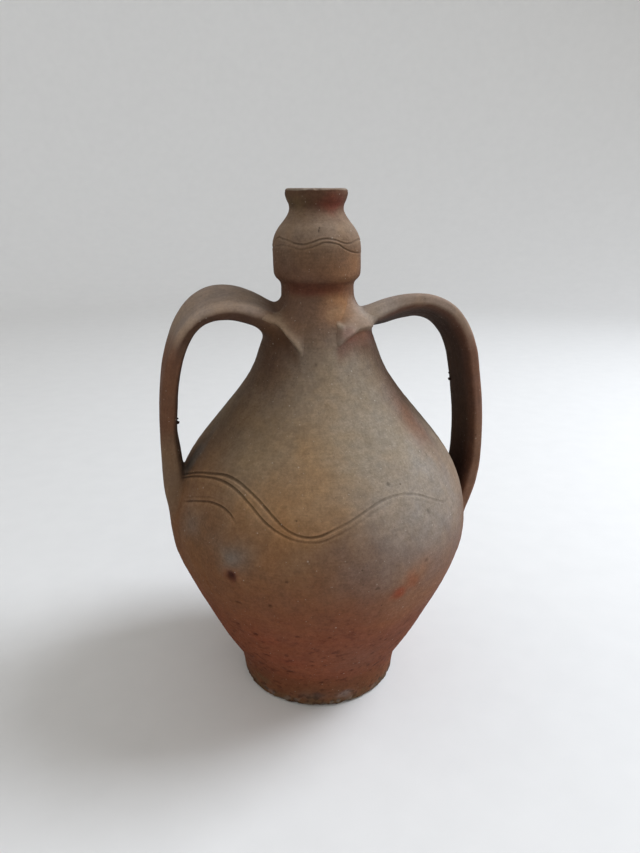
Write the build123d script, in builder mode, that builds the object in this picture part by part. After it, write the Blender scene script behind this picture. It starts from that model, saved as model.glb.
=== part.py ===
from build123d import *
import math
import os

# Two-handled unglazed jug with a bulb under the lip, thrown in stages and luted
# together. Millimetres, +Z up, origin at the centre of the foot's underside,
# handles in the XZ plane (left handle towards -X, right handle towards +X).

os.makedirs("parts", exist_ok=True)

# ---------------------------------------------------------------- dimensions
height = 320.0            # foot to rim
foot_edge = 1.2           # worn lower edge of the foot
floor_thickness = 9.0     # clay under the belly
mouth_radius = 12.0       # straight bore through the lip, takes a cork
lip_round = 1.4           # rounding where the bore meets the rim

seam_foot = 18.0          # corner between foot and belly
seam_belly = 120.0        # widest point, where the two thrown halves meet
seam_neck = 233.0         # faint ring between shoulder and neck
seam_bulb = 267.5         # corner under the bulb
seam_lip = 308.5          # groove under the lip

lap_foot = (52.0, 5.0)    # lap joints: radius of the step, height of the lap
lap_belly = (92.3, 6.0)
lap_neck = (32.0, 6.0)
lap_bulb = (19.6, 5.5)
lap_lip = (13.9, 4.0)

# outer wall: height, radius
outer_wall = [
    (0.0, 51.6), (6.0, 52.4), (12.0, 53.3), (18.0, 54.5), (24.0, 56.8), (32.0, 61.3),
    (42.0, 66.9), (54.0, 73.0), (66.0, 78.6), (78.0, 84.1), (90.0, 89.1), (100.0, 92.4),
    (110.0, 94.8), (120.0, 95.5), (130.0, 94.5), (140.0, 92.0), (150.0, 88.0),
    (160.0, 82.5), (170.0, 75.4), (180.0, 67.3), (190.0, 59.1), (200.0, 51.1),
    (210.0, 44.0), (218.0, 39.7), (226.0, 36.7), (236.0, 33.0), (246.0, 28.9),
    (252.0, 25.0), (256.0, 22.9), (259.0, 22.0), (262.0, 21.8), (265.0, 21.8),
    (267.5, 22.6), (269.8, 24.5), (272.0, 25.6), (275.0, 25.9), (282.0, 25.9), (288.0, 25.9),
    (293.0, 25.0), (298.0, 22.4), (302.0, 19.2), (305.0, 17.1), (308.5, 15.8),
    (311.0, 16.1), (314.0, 17.4), (317.0, 18.1), (320.0, 17.3),
]

# inner wall of the belly, neck and bulb: height, radius
inner_wall = [
    (15.0, 44.0), (18.0, 46.8), (23.0, 49.7), (32.0, 54.8), (42.0, 60.4), (54.0, 66.5),
    (66.0, 72.1), (78.0, 77.6), (90.0, 82.6), (100.0, 85.9), (110.0, 88.3),
    (120.0, 89.1), (130.0, 88.1), (140.0, 85.5), (150.0, 81.4), (160.0, 75.8),
    (170.0, 68.6), (180.0, 60.6), (190.0, 52.6), (200.0, 44.8), (210.0, 37.9),
    (218.0, 33.9), (226.0, 31.0), (236.0, 27.5), (246.0, 23.6), (252.0, 20.8),
    (256.0, 18.6), (259.0, 17.4), (262.0, 16.9), (265.0, 16.9), (267.5, 17.2),
    (273.0, 18.6), (278.0, 20.3), (283.0, 20.8), (288.0, 20.7), (293.0, 19.6),
    (298.0, 17.2), (302.0, 14.9), (304.5, 13.9),
]

# strap handles: distance from the axis, height, width, thickness, twist in degrees
# (a positive twist lowers the front edge)
left_strap = [
    (22.0, 243.0, 38.0, 13.5, 4.0), (33.0, 249.5, 40.0, 13.2, 8.0),
    (42.0, 253.8, 39.0, 12.8, 12.0), (53.0, 256.6, 37.5, 12.0, 16.0),
    (63.0, 256.2, 36.0, 11.5, 17.0), (71.6, 252.0, 33.0, 10.8, 15.0),
    (79.2, 243.8, 30.0, 10.6, 11.0), (84.4, 234.0, 29.0, 10.5, 7.0),
    (88.4, 222.4, 29.0, 11.0, 4.0), (91.2, 208.5, 29.0, 11.0, 2.0),
    (92.6, 194.6, 29.0, 11.2, 1.0), (93.5, 180.0, 29.0, 11.2, 0.0),
    (93.0, 166.2, 30.0, 12.8, 0.0), (92.2, 150.0, 31.0, 14.2, 0.0),
    (91.4, 134.5, 32.0, 12.6, 0.0), (89.6, 122.0, 33.0, 11.2, 0.0),
    (86.8, 109.0, 33.0, 10.0, 0.0),
]
right_strap = [
    (20.0, 241.0, 45.0, 14.2, -6.0), (30.0, 244.3, 41.5, 13.4, -10.0),
    (41.7, 247.7, 37.0, 12.0, -14.5), (55.0, 250.5, 34.0, 10.2, -18.0),
    (68.0, 250.4, 33.0, 9.3, -18.5), (79.4, 245.8, 32.0, 9.0, -17.0),
    (88.6, 236.4, 32.0, 9.0, -13.0), (94.8, 223.3, 32.0, 9.0, -9.5),
    (98.5, 207.0, 32.0, 9.0, -7.5), (101.1, 191.0, 32.0, 9.0, -7.5),
    (102.9, 174.0, 32.0, 9.0, -6.5), (103.7, 158.0, 32.5, 9.2, -5.5),
    (103.0, 144.0, 33.0, 9.6, -4.0), (100.2, 130.0, 34.0, 10.2, -2.0),
    (95.8, 116.0, 35.0, 10.4, 0.0), (90.8, 103.5, 36.0, 10.2, 0.0),
    (85.6, 92.5, 36.0, 10.0, 0.0), (78.0, 82.0, 36.0, 9.0, 0.0),
]

# clay pressed round the roots of the straps: half width, half height, depth over
# the wall, height of the middle
left_upper_pad = (31.5, 13.0, 3.6, 242.0)
right_upper_pad = (34.0, 12.0, 3.6, 241.0)
left_lower_pad = (24.0, 26.0, 3.4, 131.0)
right_lower_pad = (26.0, 26.0, 5.0, 106.0)


# ------------------------------------------------------------ wall functions
def hermite(table, z):
    """Radius and slope of a wall at a height, smooth through its table."""
    n = len(table)
    k = 0
    while k < n - 2 and z > table[k + 1][0]:
        k += 1

    def slope(i):
        if i <= 0:
            return (table[1][1] - table[0][1]) / (table[1][0] - table[0][0])
        if i >= n - 1:
            return (table[-1][1] - table[-2][1]) / (table[-1][0] - table[-2][0])
        h0 = table[i][0] - table[i - 1][0]
        h1 = table[i + 1][0] - table[i][0]
        d0 = (table[i][1] - table[i - 1][1]) / h0
        d1 = (table[i + 1][1] - table[i][1]) / h1
        return (d0 * h1 + d1 * h0) / (h0 + h1)

    z0, r0 = table[k]
    z1, r1 = table[k + 1]
    h = z1 - z0
    s = (z - z0) / h
    m0, m1 = slope(k) * h, slope(k + 1) * h
    r = (
        (2 * s**3 - 3 * s**2 + 1) * r0 + (s**3 - 2 * s**2 + s) * m0
        + (3 * s**2 - 2 * s**3) * r1 + (s**3 - s**2) * m1
    )
    dr = (
        (6 * s**2 - 6 * s) * r0 + (3 * s**2 - 4 * s + 1) * m0
        + (6 * s - 6 * s**2) * r1 + (3 * s**2 - 2 * s) * m1
    ) / h
    return r, dr


def wall_points(table, z0, z1):
    """Points (radius, height) of a wall from z0 up to z1, with end tangents."""
    heights = [z0] + [z for z, _ in table if z0 + 0.8 < z < z1 - 0.8] + [z1]
    points = [(hermite(table, z)[0], z) for z in heights]
    tangents = [(hermite(table, z0)[1], 1.0), (hermite(table, z1)[1], 1.0)]
    return points, tangents


def outer(z):
    return hermite(outer_wall, z)[0]


def inner(z):
    return hermite(inner_wall, z)[0]


# -------------------------------------------------- solid inside the outer wall
# the pieces that lie on the wall are cut back to it
with BuildPart() as envelope:
    with BuildSketch(Plane.XZ):
        with BuildLine():
            Line((0, 0), (outer(0.0) - foot_edge, 0))
            Line((outer(0.0) - foot_edge, 0), (outer(foot_edge), foot_edge))
            seams = [foot_edge, seam_foot, seam_belly, seam_neck, seam_bulb, seam_lip, height]
            for low, high in zip(seams, seams[1:]):
                pts, tan = wall_points(outer_wall, low, high)
                Spline(*pts, tangents=tan)
            Polyline((outer(height), height), (0, height), (0, 0))
        make_face()
    revolve(axis=Axis.Z)


# ----------------------------------------------------------------------- foot
# flat cut underside, thick floor, inner spigot that the belly sits over
with BuildPart() as foot:
    lap_r, lap_h = lap_foot
    with BuildSketch(Plane.XZ):
        with BuildLine():
            Line((0, 0), (outer(0.0) - foot_edge, 0))
            Line((outer(0.0) - foot_edge, 0), (outer(foot_edge), foot_edge))
            pts, tan = wall_points(outer_wall, foot_edge, seam_foot)
            Spline(*pts, tangents=tan)
            Polyline(
                (outer(seam_foot), seam_foot),
                (lap_r, seam_foot),
                (lap_r, seam_foot + lap_h),
                (inner(seam_foot + lap_h), seam_foot + lap_h),
                (inner(seam_foot), seam_foot),
                (inner(15.0), 15.0),
                (38.0, floor_thickness + 1.0),
                (30.0, floor_thickness),
                (0, floor_thickness),
                (0, 0),
            )
        make_face()
    revolve(axis=Axis.Z)
foot.part.label = "foot"
export_step(foot.part, "parts/foot.step")


# ----------------------------------------------------------------- lower belly
with BuildPart() as lower_belly:
    with BuildSketch(Plane.XZ):
        with BuildLine():
            pts, tan = wall_points(outer_wall, seam_foot, seam_belly)
            Spline(*pts, tangents=tan)
            Polyline(
                (outer(seam_belly), seam_belly),
                (lap_belly[0], seam_belly),
                (lap_belly[0], seam_belly + lap_belly[1]),
                (inner(seam_belly + lap_belly[1]), seam_belly + lap_belly[1]),
            )
            pts, tan = wall_points(inner_wall, seam_foot + lap_foot[1], seam_belly + lap_belly[1])
            Spline(*pts, tangents=tan)
            Polyline(
                (inner(seam_foot + lap_foot[1]), seam_foot + lap_foot[1]),
                (lap_foot[0], seam_foot + lap_foot[1]),
                (lap_foot[0], seam_foot),
                (outer(seam_foot), seam_foot),
            )
        make_face()
    revolve(axis=Axis.Z)
lower_belly.part.label = "lower_belly"
export_step(lower_belly.part, "parts/lower_belly.step")


# -------------------------------------------------------------------- shoulder
with BuildPart() as shoulder:
    neck_foot = seam_neck - lap_neck[1]
    with BuildSketch(Plane.XZ):
        with BuildLine():
            pts, tan = wall_points(outer_wall, seam_belly, seam_neck)
            Spline(*pts, tangents=tan)
            Polyline(
                (outer(seam_neck), seam_neck),
                (lap_neck[0], seam_neck),
                (lap_neck[0], neck_foot),
                (inner(neck_foot), neck_foot),
            )
            pts, tan = wall_points(inner_wall, seam_belly + lap_belly[1], neck_foot)
            Spline(*pts, tangents=tan)
            Polyline(
                (inner(seam_belly + lap_belly[1]), seam_belly + lap_belly[1]),
                (lap_belly[0], seam_belly + lap_belly[1]),
                (lap_belly[0], seam_belly),
                (outer(seam_belly), seam_belly),
            )
        make_face()
    revolve(axis=Axis.Z)
shoulder.part.label = "shoulder"
export_step(shoulder.part, "parts/shoulder.step")


# ------------------------------------------------------------------------ neck
# lower end drops inside the shoulder's collar, upper end stands inside the bulb
with BuildPart() as neck:
    neck_top = seam_bulb + lap_bulb[1]
    with BuildSketch(Plane.XZ):
        with BuildLine():
            pts, tan = wall_points(outer_wall, seam_neck, seam_bulb)
            Spline(*pts, tangents=tan)
            Polyline(
                (outer(seam_bulb), seam_bulb),
                (lap_bulb[0], seam_bulb),
                (lap_bulb[0], neck_top),
                (inner(neck_top) - 0.4, neck_top),
                (inner(seam_bulb), seam_bulb),
            )
            pts, tan = wall_points(inner_wall, neck_foot, seam_bulb)
            Spline(*pts, tangents=tan)
            Polyline(
                (inner(neck_foot), neck_foot),
                (lap_neck[0], neck_foot),
                (lap_neck[0], seam_neck),
                (outer(seam_neck), seam_neck),
            )
        make_face()
    revolve(axis=Axis.Z)
neck.part.label = "neck"
export_step(neck.part, "parts/neck.step")


# ------------------------------------------------------------------------ bulb
with BuildPart() as bulb:
    lip_foot = seam_lip - lap_lip[1]
    with BuildSketch(Plane.XZ):
        with BuildLine():
            pts, tan = wall_points(outer_wall, seam_bulb, seam_lip)
            Spline(*pts, tangents=tan)
            Polyline(
                (outer(seam_lip), seam_lip),
                (lap_lip[0], seam_lip),
                (lap_lip[0], lip_foot),
            )
            pts, tan = wall_points(inner_wall, neck_top + 1.5, lip_foot)
            Spline(*pts, tangents=tan)
            Polyline(
                (inner(neck_top + 1.5), neck_top + 1.5),
                (lap_bulb[0], neck_top),
                (lap_bulb[0], seam_bulb),
                (outer(seam_bulb), seam_bulb),
            )
        make_face()
    revolve(axis=Axis.Z)
bulb.part.label = "bulb"
export_step(bulb.part, "parts/bulb.step")


# ------------------------------------------------------------------------- lip
# rolled rim with a straight bore; its lower end sits inside the bulb's collar
with BuildPart() as lip:
    with BuildSketch(Plane.XZ):
        with BuildLine():
            pts, tan = wall_points(outer_wall, seam_lip, height)
            Spline(*pts, tangents=tan)
            Line((outer(height), height), (mouth_radius + lip_round, height))
            RadiusArc(
                (mouth_radius + lip_round, height),
                (mouth_radius, height - lip_round),
                -lip_round,
            )
            Polyline(
                (mouth_radius, height - lip_round),
                (mouth_radius, lip_foot),
                (lap_lip[0], lip_foot),
                (lap_lip[0], seam_lip),
                (outer(seam_lip), seam_lip),
            )
        make_face()
    revolve(axis=Axis.Z)
lip.part.label = "lip"
export_step(lip.part, "parts/lip.step")


# --------------------------------------------------------------------- handles
def station_plane(side, strap, k):
    """Plane across the strap: local X runs across its width, local Y outwards."""
    a = strap[max(k - 1, 0)]
    b = strap[min(k + 1, len(strap) - 1)]
    along = Vector(side * (b[0] - a[0]), 0, b[1] - a[1]).normalized()
    across = Vector(0, 1, 0)
    out = along.cross(across) * (1 if side < 0 else -1)
    centre = Vector(side * strap[k][0], 0, strap[k][1])
    if (centre - Vector(side * 60, 0, 200)).dot(out) < 0:
        out = out * -1
    twist = math.radians(strap[k][4])
    across = across * math.cos(twist) + out * math.sin(twist)
    return Plane(origin=centre, x_dir=across, z_dir=along)


with BuildPart() as handle_left:
    for k, (r, z, width, thick, twist) in enumerate(left_strap):
        with BuildSketch(station_plane(-1, left_strap, k)):
            Ellipse(width / 2, thick / 2)
    loft()
    add(envelope.part, mode=Mode.SUBTRACT)
handle_left.part.label = "handle_left"
export_step(handle_left.part, "parts/handle_left.step")

with BuildPart() as handle_right:
    for k, (r, z, width, thick, twist) in enumerate(right_strap):
        with BuildSketch(station_plane(1, right_strap, k)):
            Ellipse(width / 2, thick / 2)
    loft()
    add(envelope.part, mode=Mode.SUBTRACT)
handle_right.part.label = "handle_right"
export_step(handle_right.part, "parts/handle_right.step")


# ------------------------------------------------------------- luted root clay
# Each pad is an oval patch of clay that follows the wall, thickest in the middle,
# cut away where the strap passes through it.
def pad_profile(pad):
    """Points (radius, height) of the pad's swelling over the outer wall."""
    half_width, half_height, depth, middle = pad
    points = []
    for i in range(9):
        u = -1.0 + 2.0 * i / 8
        z = middle + half_height * u
        points.append((outer(z) + 0.15 + depth * (1.0 - u * u), z))
    return points


def pad_core(pad):
    """Way back from the swelling to a cylinder well inside the wall."""
    profile = pad_profile(pad)
    core = min(r for r, z in profile) - 12.0
    return [profile[-1], (core, profile[-1][1]), (core, profile[0][1]), profile[0]]


with BuildPart() as left_upper_band:
    with BuildSketch(Plane.XZ):
        with BuildLine():
            Spline(*pad_profile(left_upper_pad))
            Polyline(*pad_core(left_upper_pad))
        make_face()
    revolve(axis=Axis.Z)

with BuildPart() as handle_left_upper_pad:
    with BuildSketch(Plane.YZ.offset(-50.0)):
        with Locations((0, left_upper_pad[3])):
            Ellipse(left_upper_pad[0], left_upper_pad[1] - 0.3)
    extrude(amount=46.0)
    add(left_upper_band.part, mode=Mode.INTERSECT)
    add(envelope.part, mode=Mode.SUBTRACT)
    add(handle_left.part, mode=Mode.SUBTRACT)
handle_left_upper_pad.part.label = "handle_left_upper_pad"
export_step(handle_left_upper_pad.part, "parts/handle_left_upper_pad.step")

with BuildPart() as right_upper_band:
    with BuildSketch(Plane.XZ):
        with BuildLine():
            Spline(*pad_profile(right_upper_pad))
            Polyline(*pad_core(right_upper_pad))
        make_face()
    revolve(axis=Axis.Z)

with BuildPart() as handle_right_upper_pad:
    with BuildSketch(Plane.YZ.offset(4.0)):
        with Locations((0, right_upper_pad[3])):
            Ellipse(right_upper_pad[0], right_upper_pad[1] - 0.3)
    extrude(amount=46.0)
    add(right_upper_band.part, mode=Mode.INTERSECT)
    add(envelope.part, mode=Mode.SUBTRACT)
    add(handle_right.part, mode=Mode.SUBTRACT)
handle_right_upper_pad.part.label = "handle_right_upper_pad"
export_step(handle_right_upper_pad.part, "parts/handle_right_upper_pad.step")

with BuildPart() as left_lower_band:
    with BuildSketch(Plane.XZ):
        with BuildLine():
            Spline(*pad_profile(left_lower_pad))
            Polyline(*pad_core(left_lower_pad))
        make_face()
    revolve(axis=Axis.Z)

with BuildPart() as handle_left_lower_pad:
    with BuildSketch(Plane.YZ.offset(-130.0)):
        with Locations((0, left_lower_pad[3])):
            Ellipse(left_lower_pad[0], left_lower_pad[1] - 0.3)
    extrude(amount=70.0)
    add(left_lower_band.part, mode=Mode.INTERSECT)
    add(envelope.part, mode=Mode.SUBTRACT)
    add(handle_left.part, mode=Mode.SUBTRACT)
handle_left_lower_pad.part.label = "handle_left_lower_pad"
export_step(handle_left_lower_pad.part, "parts/handle_left_lower_pad.step")

with BuildPart() as right_lower_band:
    with BuildSketch(Plane.XZ):
        with BuildLine():
            Spline(*pad_profile(right_lower_pad))
            Polyline(*pad_core(right_lower_pad))
        make_face()
    revolve(axis=Axis.Z)

with BuildPart() as handle_right_lower_pad:
    with BuildSketch(Plane.YZ.offset(60.0)):
        with Locations((0, right_lower_pad[3])):
            Ellipse(right_lower_pad[0], right_lower_pad[1] - 0.3)
    extrude(amount=70.0)
    add(right_lower_band.part, mode=Mode.INTERSECT)
    add(envelope.part, mode=Mode.SUBTRACT)
    add(handle_right.part, mode=Mode.SUBTRACT)
handle_right_lower_pad.part.label = "handle_right_lower_pad"
export_step(handle_right_lower_pad.part, "parts/handle_right_lower_pad.step")
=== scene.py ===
import math

import bpy
import numpy as np
from mathutils import Matrix, Vector


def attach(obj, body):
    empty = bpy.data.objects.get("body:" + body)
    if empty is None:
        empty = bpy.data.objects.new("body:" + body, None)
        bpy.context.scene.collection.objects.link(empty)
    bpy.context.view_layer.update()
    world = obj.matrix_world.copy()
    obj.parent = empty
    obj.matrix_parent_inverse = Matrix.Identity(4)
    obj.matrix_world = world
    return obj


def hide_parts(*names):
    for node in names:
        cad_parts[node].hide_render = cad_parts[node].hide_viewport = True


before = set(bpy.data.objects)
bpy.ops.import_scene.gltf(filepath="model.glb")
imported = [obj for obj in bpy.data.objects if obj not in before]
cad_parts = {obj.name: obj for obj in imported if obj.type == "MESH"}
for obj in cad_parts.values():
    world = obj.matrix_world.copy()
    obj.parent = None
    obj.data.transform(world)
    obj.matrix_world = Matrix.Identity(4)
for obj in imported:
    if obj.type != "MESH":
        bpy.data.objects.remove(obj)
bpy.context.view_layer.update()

# Two-handled unglazed jug. Everything below is worked out in millimetres in the
# row frame (+Z up, origin under the foot, left handle towards -X, right handle
# towards +X) and scaled to metres when a mesh is written. An angle round the pot
# is counted in degrees from the side that faces the camera, growing to the right.
FRONT = -13.0               # the camera looks from 13 degrees left of -Y
LEFT_HANDLE, RIGHT_HANDLE = -77.0, 103.0

SEAM_FOOT, SEAM_BELLY, SEAM_NECK, SEAM_BULB, SEAM_LIP, HEIGHT = 18.0, 120.0, 233.0, 267.5, 308.5, 320.0
LAP_FOOT, LAP_BELLY, LAP_NECK, LAP_BULB, LAP_LIP = (52.0, 5.0), (92.3, 6.0), (32.0, 6.0), (19.6, 5.5), (13.9, 4.0)
FOOT_EDGE, FLOOR, MOUTH = 1.2, 9.0, 12.0

OUTER = [
    (0.0, 51.6), (6.0, 52.4), (12.0, 53.3), (18.0, 54.5), (24.0, 56.8), (32.0, 61.3),
    (42.0, 66.9), (54.0, 73.0), (66.0, 78.6), (78.0, 84.1), (90.0, 89.1), (100.0, 92.4),
    (110.0, 94.8), (120.0, 95.5), (130.0, 94.5), (140.0, 92.0), (150.0, 88.0),
    (160.0, 82.5), (170.0, 75.4), (180.0, 67.3), (190.0, 59.1), (200.0, 51.1),
    (210.0, 44.0), (218.0, 39.7), (226.0, 36.7), (236.0, 33.0), (246.0, 28.6),
    (252.0, 25.0), (256.0, 22.9), (259.0, 22.0), (262.0, 21.8), (265.0, 21.8),
    (267.0, 22.3), (268.4, 23.3), (269.8, 24.7), (271.6, 25.6), (275.0, 25.9), (282.0, 25.9), (288.0, 25.9),
    (293.0, 25.0), (298.0, 22.4), (302.0, 19.2), (305.0, 17.1), (308.5, 15.8),
    (311.0, 16.1), (314.0, 17.4), (317.0, 18.1), (320.0, 17.3),
]
INNER = [
    (15.0, 44.0), (18.0, 46.8), (23.0, 49.7), (32.0, 54.8), (42.0, 60.4), (54.0, 66.5),
    (66.0, 72.1), (78.0, 77.6), (90.0, 82.6), (100.0, 85.9), (110.0, 88.3),
    (120.0, 89.1), (130.0, 88.1), (140.0, 85.5), (150.0, 81.4), (160.0, 75.8),
    (170.0, 68.6), (180.0, 60.6), (190.0, 52.6), (200.0, 44.8), (210.0, 37.9),
    (218.0, 33.9), (226.0, 31.0), (236.0, 27.5), (246.0, 23.6), (252.0, 20.8),
    (256.0, 18.6), (259.0, 17.4), (262.0, 16.9), (265.0, 16.9), (267.5, 17.2),
    (273.0, 18.6), (278.0, 20.3), (283.0, 20.8), (288.0, 20.7), (293.0, 19.6),
    (298.0, 17.2), (302.0, 14.9), (304.5, 13.9),
]
LEFT_STRAP = [
    (22.0, 242.6, 37.0, 13.5, 12.0), (33.0, 249.1, 40.0, 13.2, 11.0),
    (42.0, 253.3, 39.0, 13.8, 13.0), (53.0, 256.1, 37.5, 13.3, 16.0),
    (63.0, 255.7, 36.0, 12.7, 17.0), (71.6, 251.7, 33.0, 11.6, 15.0),
    (79.2, 243.8, 30.0, 10.6, 11.0), (84.4, 234.0, 29.0, 10.5, 7.0),
    (88.4, 222.4, 29.0, 11.0, 4.0), (91.2, 208.5, 29.0, 11.0, 2.0),
    (92.6, 194.6, 29.0, 11.2, 1.0), (93.5, 180.0, 29.0, 11.2, 0.0),
    (93.0, 166.2, 30.0, 12.8, 0.0), (92.2, 150.0, 31.0, 14.2, 0.0),
    (91.3, 134.5, 32.0, 12.6, 0.0), (89.0, 122.0, 33.0, 11.0, 0.0),
    (85.4, 109.0, 33.0, 8.6, 0.0),
]
RIGHT_STRAP = [
    (20.0, 242.6, 44.0, 14.0, -6.0), (30.0, 245.2, 41.0, 13.0, -14.0),
    (41.7, 247.6, 37.0, 12.1, -21.0), (55.0, 250.2, 34.0, 10.0, -23.5),
    (68.0, 250.2, 33.0, 9.2, -21.0), (79.4, 245.8, 32.0, 9.2, -17.5),
    (88.6, 236.4, 32.0, 9.0, -13.0), (94.8, 223.3, 32.0, 9.0, -9.5),
    (98.5, 207.0, 32.0, 9.0, -7.5), (101.1, 191.0, 32.0, 9.0, -7.5),
    (102.9, 174.0, 32.0, 9.0, -6.5), (103.7, 158.0, 32.5, 9.2, -5.5),
    (103.0, 144.0, 33.0, 9.6, -4.0), (100.2, 130.0, 34.0, 10.2, -2.0),
    (95.8, 116.0, 35.0, 10.4, 0.0), (90.8, 103.5, 36.0, 10.2, 0.0),
    (85.6, 92.5, 36.0, 10.0, 0.0), (78.0, 82.0, 36.0, 9.0, 0.0),
]


# ------------------------------------------------------------------ small maths
def smooth(a, b, x):
    """0 below a, 1 above b, with soft ends."""
    s = np.clip((np.asarray(x, float) - a) / (b - a), 0.0, 1.0)
    return s * s * (3.0 - 2.0 * s)


def hermite(xs, ys, x):
    """Smooth curve through a table, and its slope."""
    xs, ys, x = np.asarray(xs, float), np.asarray(ys, float), np.asarray(x, float)
    h = np.diff(xs)
    d = np.diff(ys) / h
    m = np.empty(len(xs))
    m[0], m[-1] = d[0], d[-1]
    m[1:-1] = (d[:-1] * h[1:] + d[1:] * h[:-1]) / (h[:-1] + h[1:])
    k = np.clip(np.searchsorted(xs, x, side="right") - 1, 0, len(xs) - 2)
    hk = h[k]
    s = np.clip((x - xs[k]) / hk, 0.0, 1.0)
    y0, y1, m0, m1 = ys[k], ys[k + 1], m[k] * hk, m[k + 1] * hk
    y = (
        (2 * s**3 - 3 * s**2 + 1) * y0 + (s**3 - 2 * s**2 + s) * m0
        + (3 * s**2 - 2 * s**3) * y1 + (s**3 - s**2) * m1
    )
    dy = (
        (6 * s**2 - 6 * s) * y0 + (3 * s**2 - 4 * s + 1) * m0
        + (6 * s - 6 * s**2) * y1 + (3 * s**2 - 2 * s) * m1
    ) / hk
    return y, dy


def turned(table, z):
    t = np.array(table)
    return hermite(t[:, 0], t[:, 1], z)


def outer(z):
    return turned(OUTER, z)[0]


def inner(z):
    return turned(INNER, z)[0]


def ring_curve(points, angle):
    """Height of a line drawn round the pot, from (angle, height) points, over any turn."""
    p = np.array(sorted(points))
    xs = np.concatenate([p[:, 0] - 360.0, p[:, 0], p[:, 0] + 360.0])
    ys = np.concatenate([p[:, 1]] * 3)
    a = (np.asarray(angle, float) + 180.0) % 360.0 - 180.0
    return hermite(xs, ys, a)


def apart(a, b):
    """Signed difference of two angles in degrees, -180 to 180."""
    return (np.asarray(a, float) - b + 180.0) % 360.0 - 180.0


_TURN = np.array([[0.80, 0.36, -0.48], [-0.60, 0.48, -0.64], [0.0, 0.80, 0.60]])


def _cell(ix, iy, iz, seed):
    m = 0xFFFFFFFF
    h = (ix * 374761393 + iy * 668265263 + iz * 2246822519 + seed * 3266489917) & m
    h = ((h ^ (h >> 13)) * 1274126177) & m
    h = ((h ^ (h >> 16)) * 2654435761) & m
    h = h ^ (h >> 15)
    return h / 2147483647.5 - 1.0


def noise(p, size, seed=0):
    """Smooth noise between -1 and 1 over points in mm, with bumps of that size."""
    q = (np.asarray(p, float) @ _TURN.T) / size
    i = np.floor(q).astype(np.int64)
    f = q - i
    f = f * f * f * (f * (f * 6.0 - 15.0) + 10.0)
    out = 0.0
    for dx in (0, 1):
        wx = f[:, 0] if dx else 1.0 - f[:, 0]
        for dy in (0, 1):
            wy = f[:, 1] if dy else 1.0 - f[:, 1]
            for dz in (0, 1):
                wz = f[:, 2] if dz else 1.0 - f[:, 2]
                out = out + wx * wy * wz * _cell(i[:, 0] + dx, i[:, 1] + dy, i[:, 2] + dz, seed)
    return out


def cloudy(p, size, seed=0, layers=3):
    out, amp, total = 0.0, 1.0, 0.0
    for k in range(layers):
        out = out + amp * noise(p, size / 2.03**k, seed + 17 * k)
        total += amp
        amp *= 0.5
    return out / total


def point(angle, r, z):
    """Row-frame points from the angle in degrees off the camera's side."""
    t = np.radians(np.asarray(angle, float) + FRONT)
    return np.stack([r * np.sin(t), -r * np.cos(t), z + 0.0 * t], -1)


def angle_of(p):
    return np.degrees(np.arctan2(p[..., 0], -p[..., 1])) - FRONT


# ------------------------------------------------------- the incised wave bands
# One stroke of a two-pronged comb: it starts under the left handle, runs round
# to the right over crests and troughs, comes back behind the left handle and
# ends in a short tail below its own start.
WAVE_UPPER = [
    (-71.5, 153.5), (-60.5, 160.0), (-50.2, 163.9), (-39.2, 165.9), (-28.4, 162.8), (-21.0, 157.6), (-15.4, 151.8), (-10.6, 146.6),
    (-4.9, 143.6), (0.5, 143.8), (6.2, 147.1), (12.2, 150.8), (18.7, 155.1), (26.1, 158.5), (33.8, 158.9), (41.5, 156.3),
    (48.4, 151.3), (56.5, 146.0), (62.0, 146.9), (72.0, 153.0), (85.0, 158.0), (98.0, 151.5), (112.0, 144.0), (128.0, 152.0),
    (145.0, 160.0), (162.0, 152.5), (-180.0, 143.5), (-163.0, 150.0), (-146.0, 159.5), (-128.0, 152.0), (-109.0, 141.5), (-96.0, 138.6),
    (-89.0, 140.0), (-78.0, 149.0),
]
WAVE_LOWER = [
    (-71.5, 150.9), (-66.9, 154.3), (-60.5, 157.9), (-52.5, 161.1), (-42.4, 162.9), (-32.5, 160.8), (-24.7, 155.3), (-18.2, 148.7),
    (-11.9, 143.8), (-4.8, 141.0), (1.0, 141.1), (6.6, 144.1), (12.8, 148.1), (19.2, 152.4), (26.4, 155.8), (33.8, 156.2),
    (41.0, 153.7), (48.0, 148.6), (56.2, 143.2), (62.0, 144.0), (72.0, 150.2), (85.0, 155.0), (98.0, 148.4), (112.0, 141.0),
    (128.0, 149.0), (145.0, 157.0), (162.0, 149.4), (-180.0, 140.4), (-163.0, 147.0), (-146.0, 156.4), (-128.0, 148.9), (-109.0, 138.4),
    (-96.0, 135.5), (-89.0, 136.8), (-78.0, 146.3),
]
TAIL = [
    (-88.0, 131.0), (-78.0, 136.6), (-70.0, 139.9), (-60.5, 143.2), (-54.5, 146.7), (-49.3, 149.2), (-45.2, 150.8), (-41.3, 151.4),
    (-37.6, 151.2), (-34.8, 150.2), (-32.2, 148.4), (-30.4, 146.2), (-29.2, 144.2), (-26.5, 141.5), (-20.0, 137.5), (-11.9, 135.0),
    (-4.8, 133.2), (2.0, 134.0), (12.0, 138.0), (26.0, 142.0), (41.0, 140.0), (56.0, 134.5), (85.0, 145.0), (112.0, 132.5),
    (145.0, 147.0), (-180.0, 131.5), (-146.0, 146.5), (-109.0, 129.5), (-92.0, 129.5),
]
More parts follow.
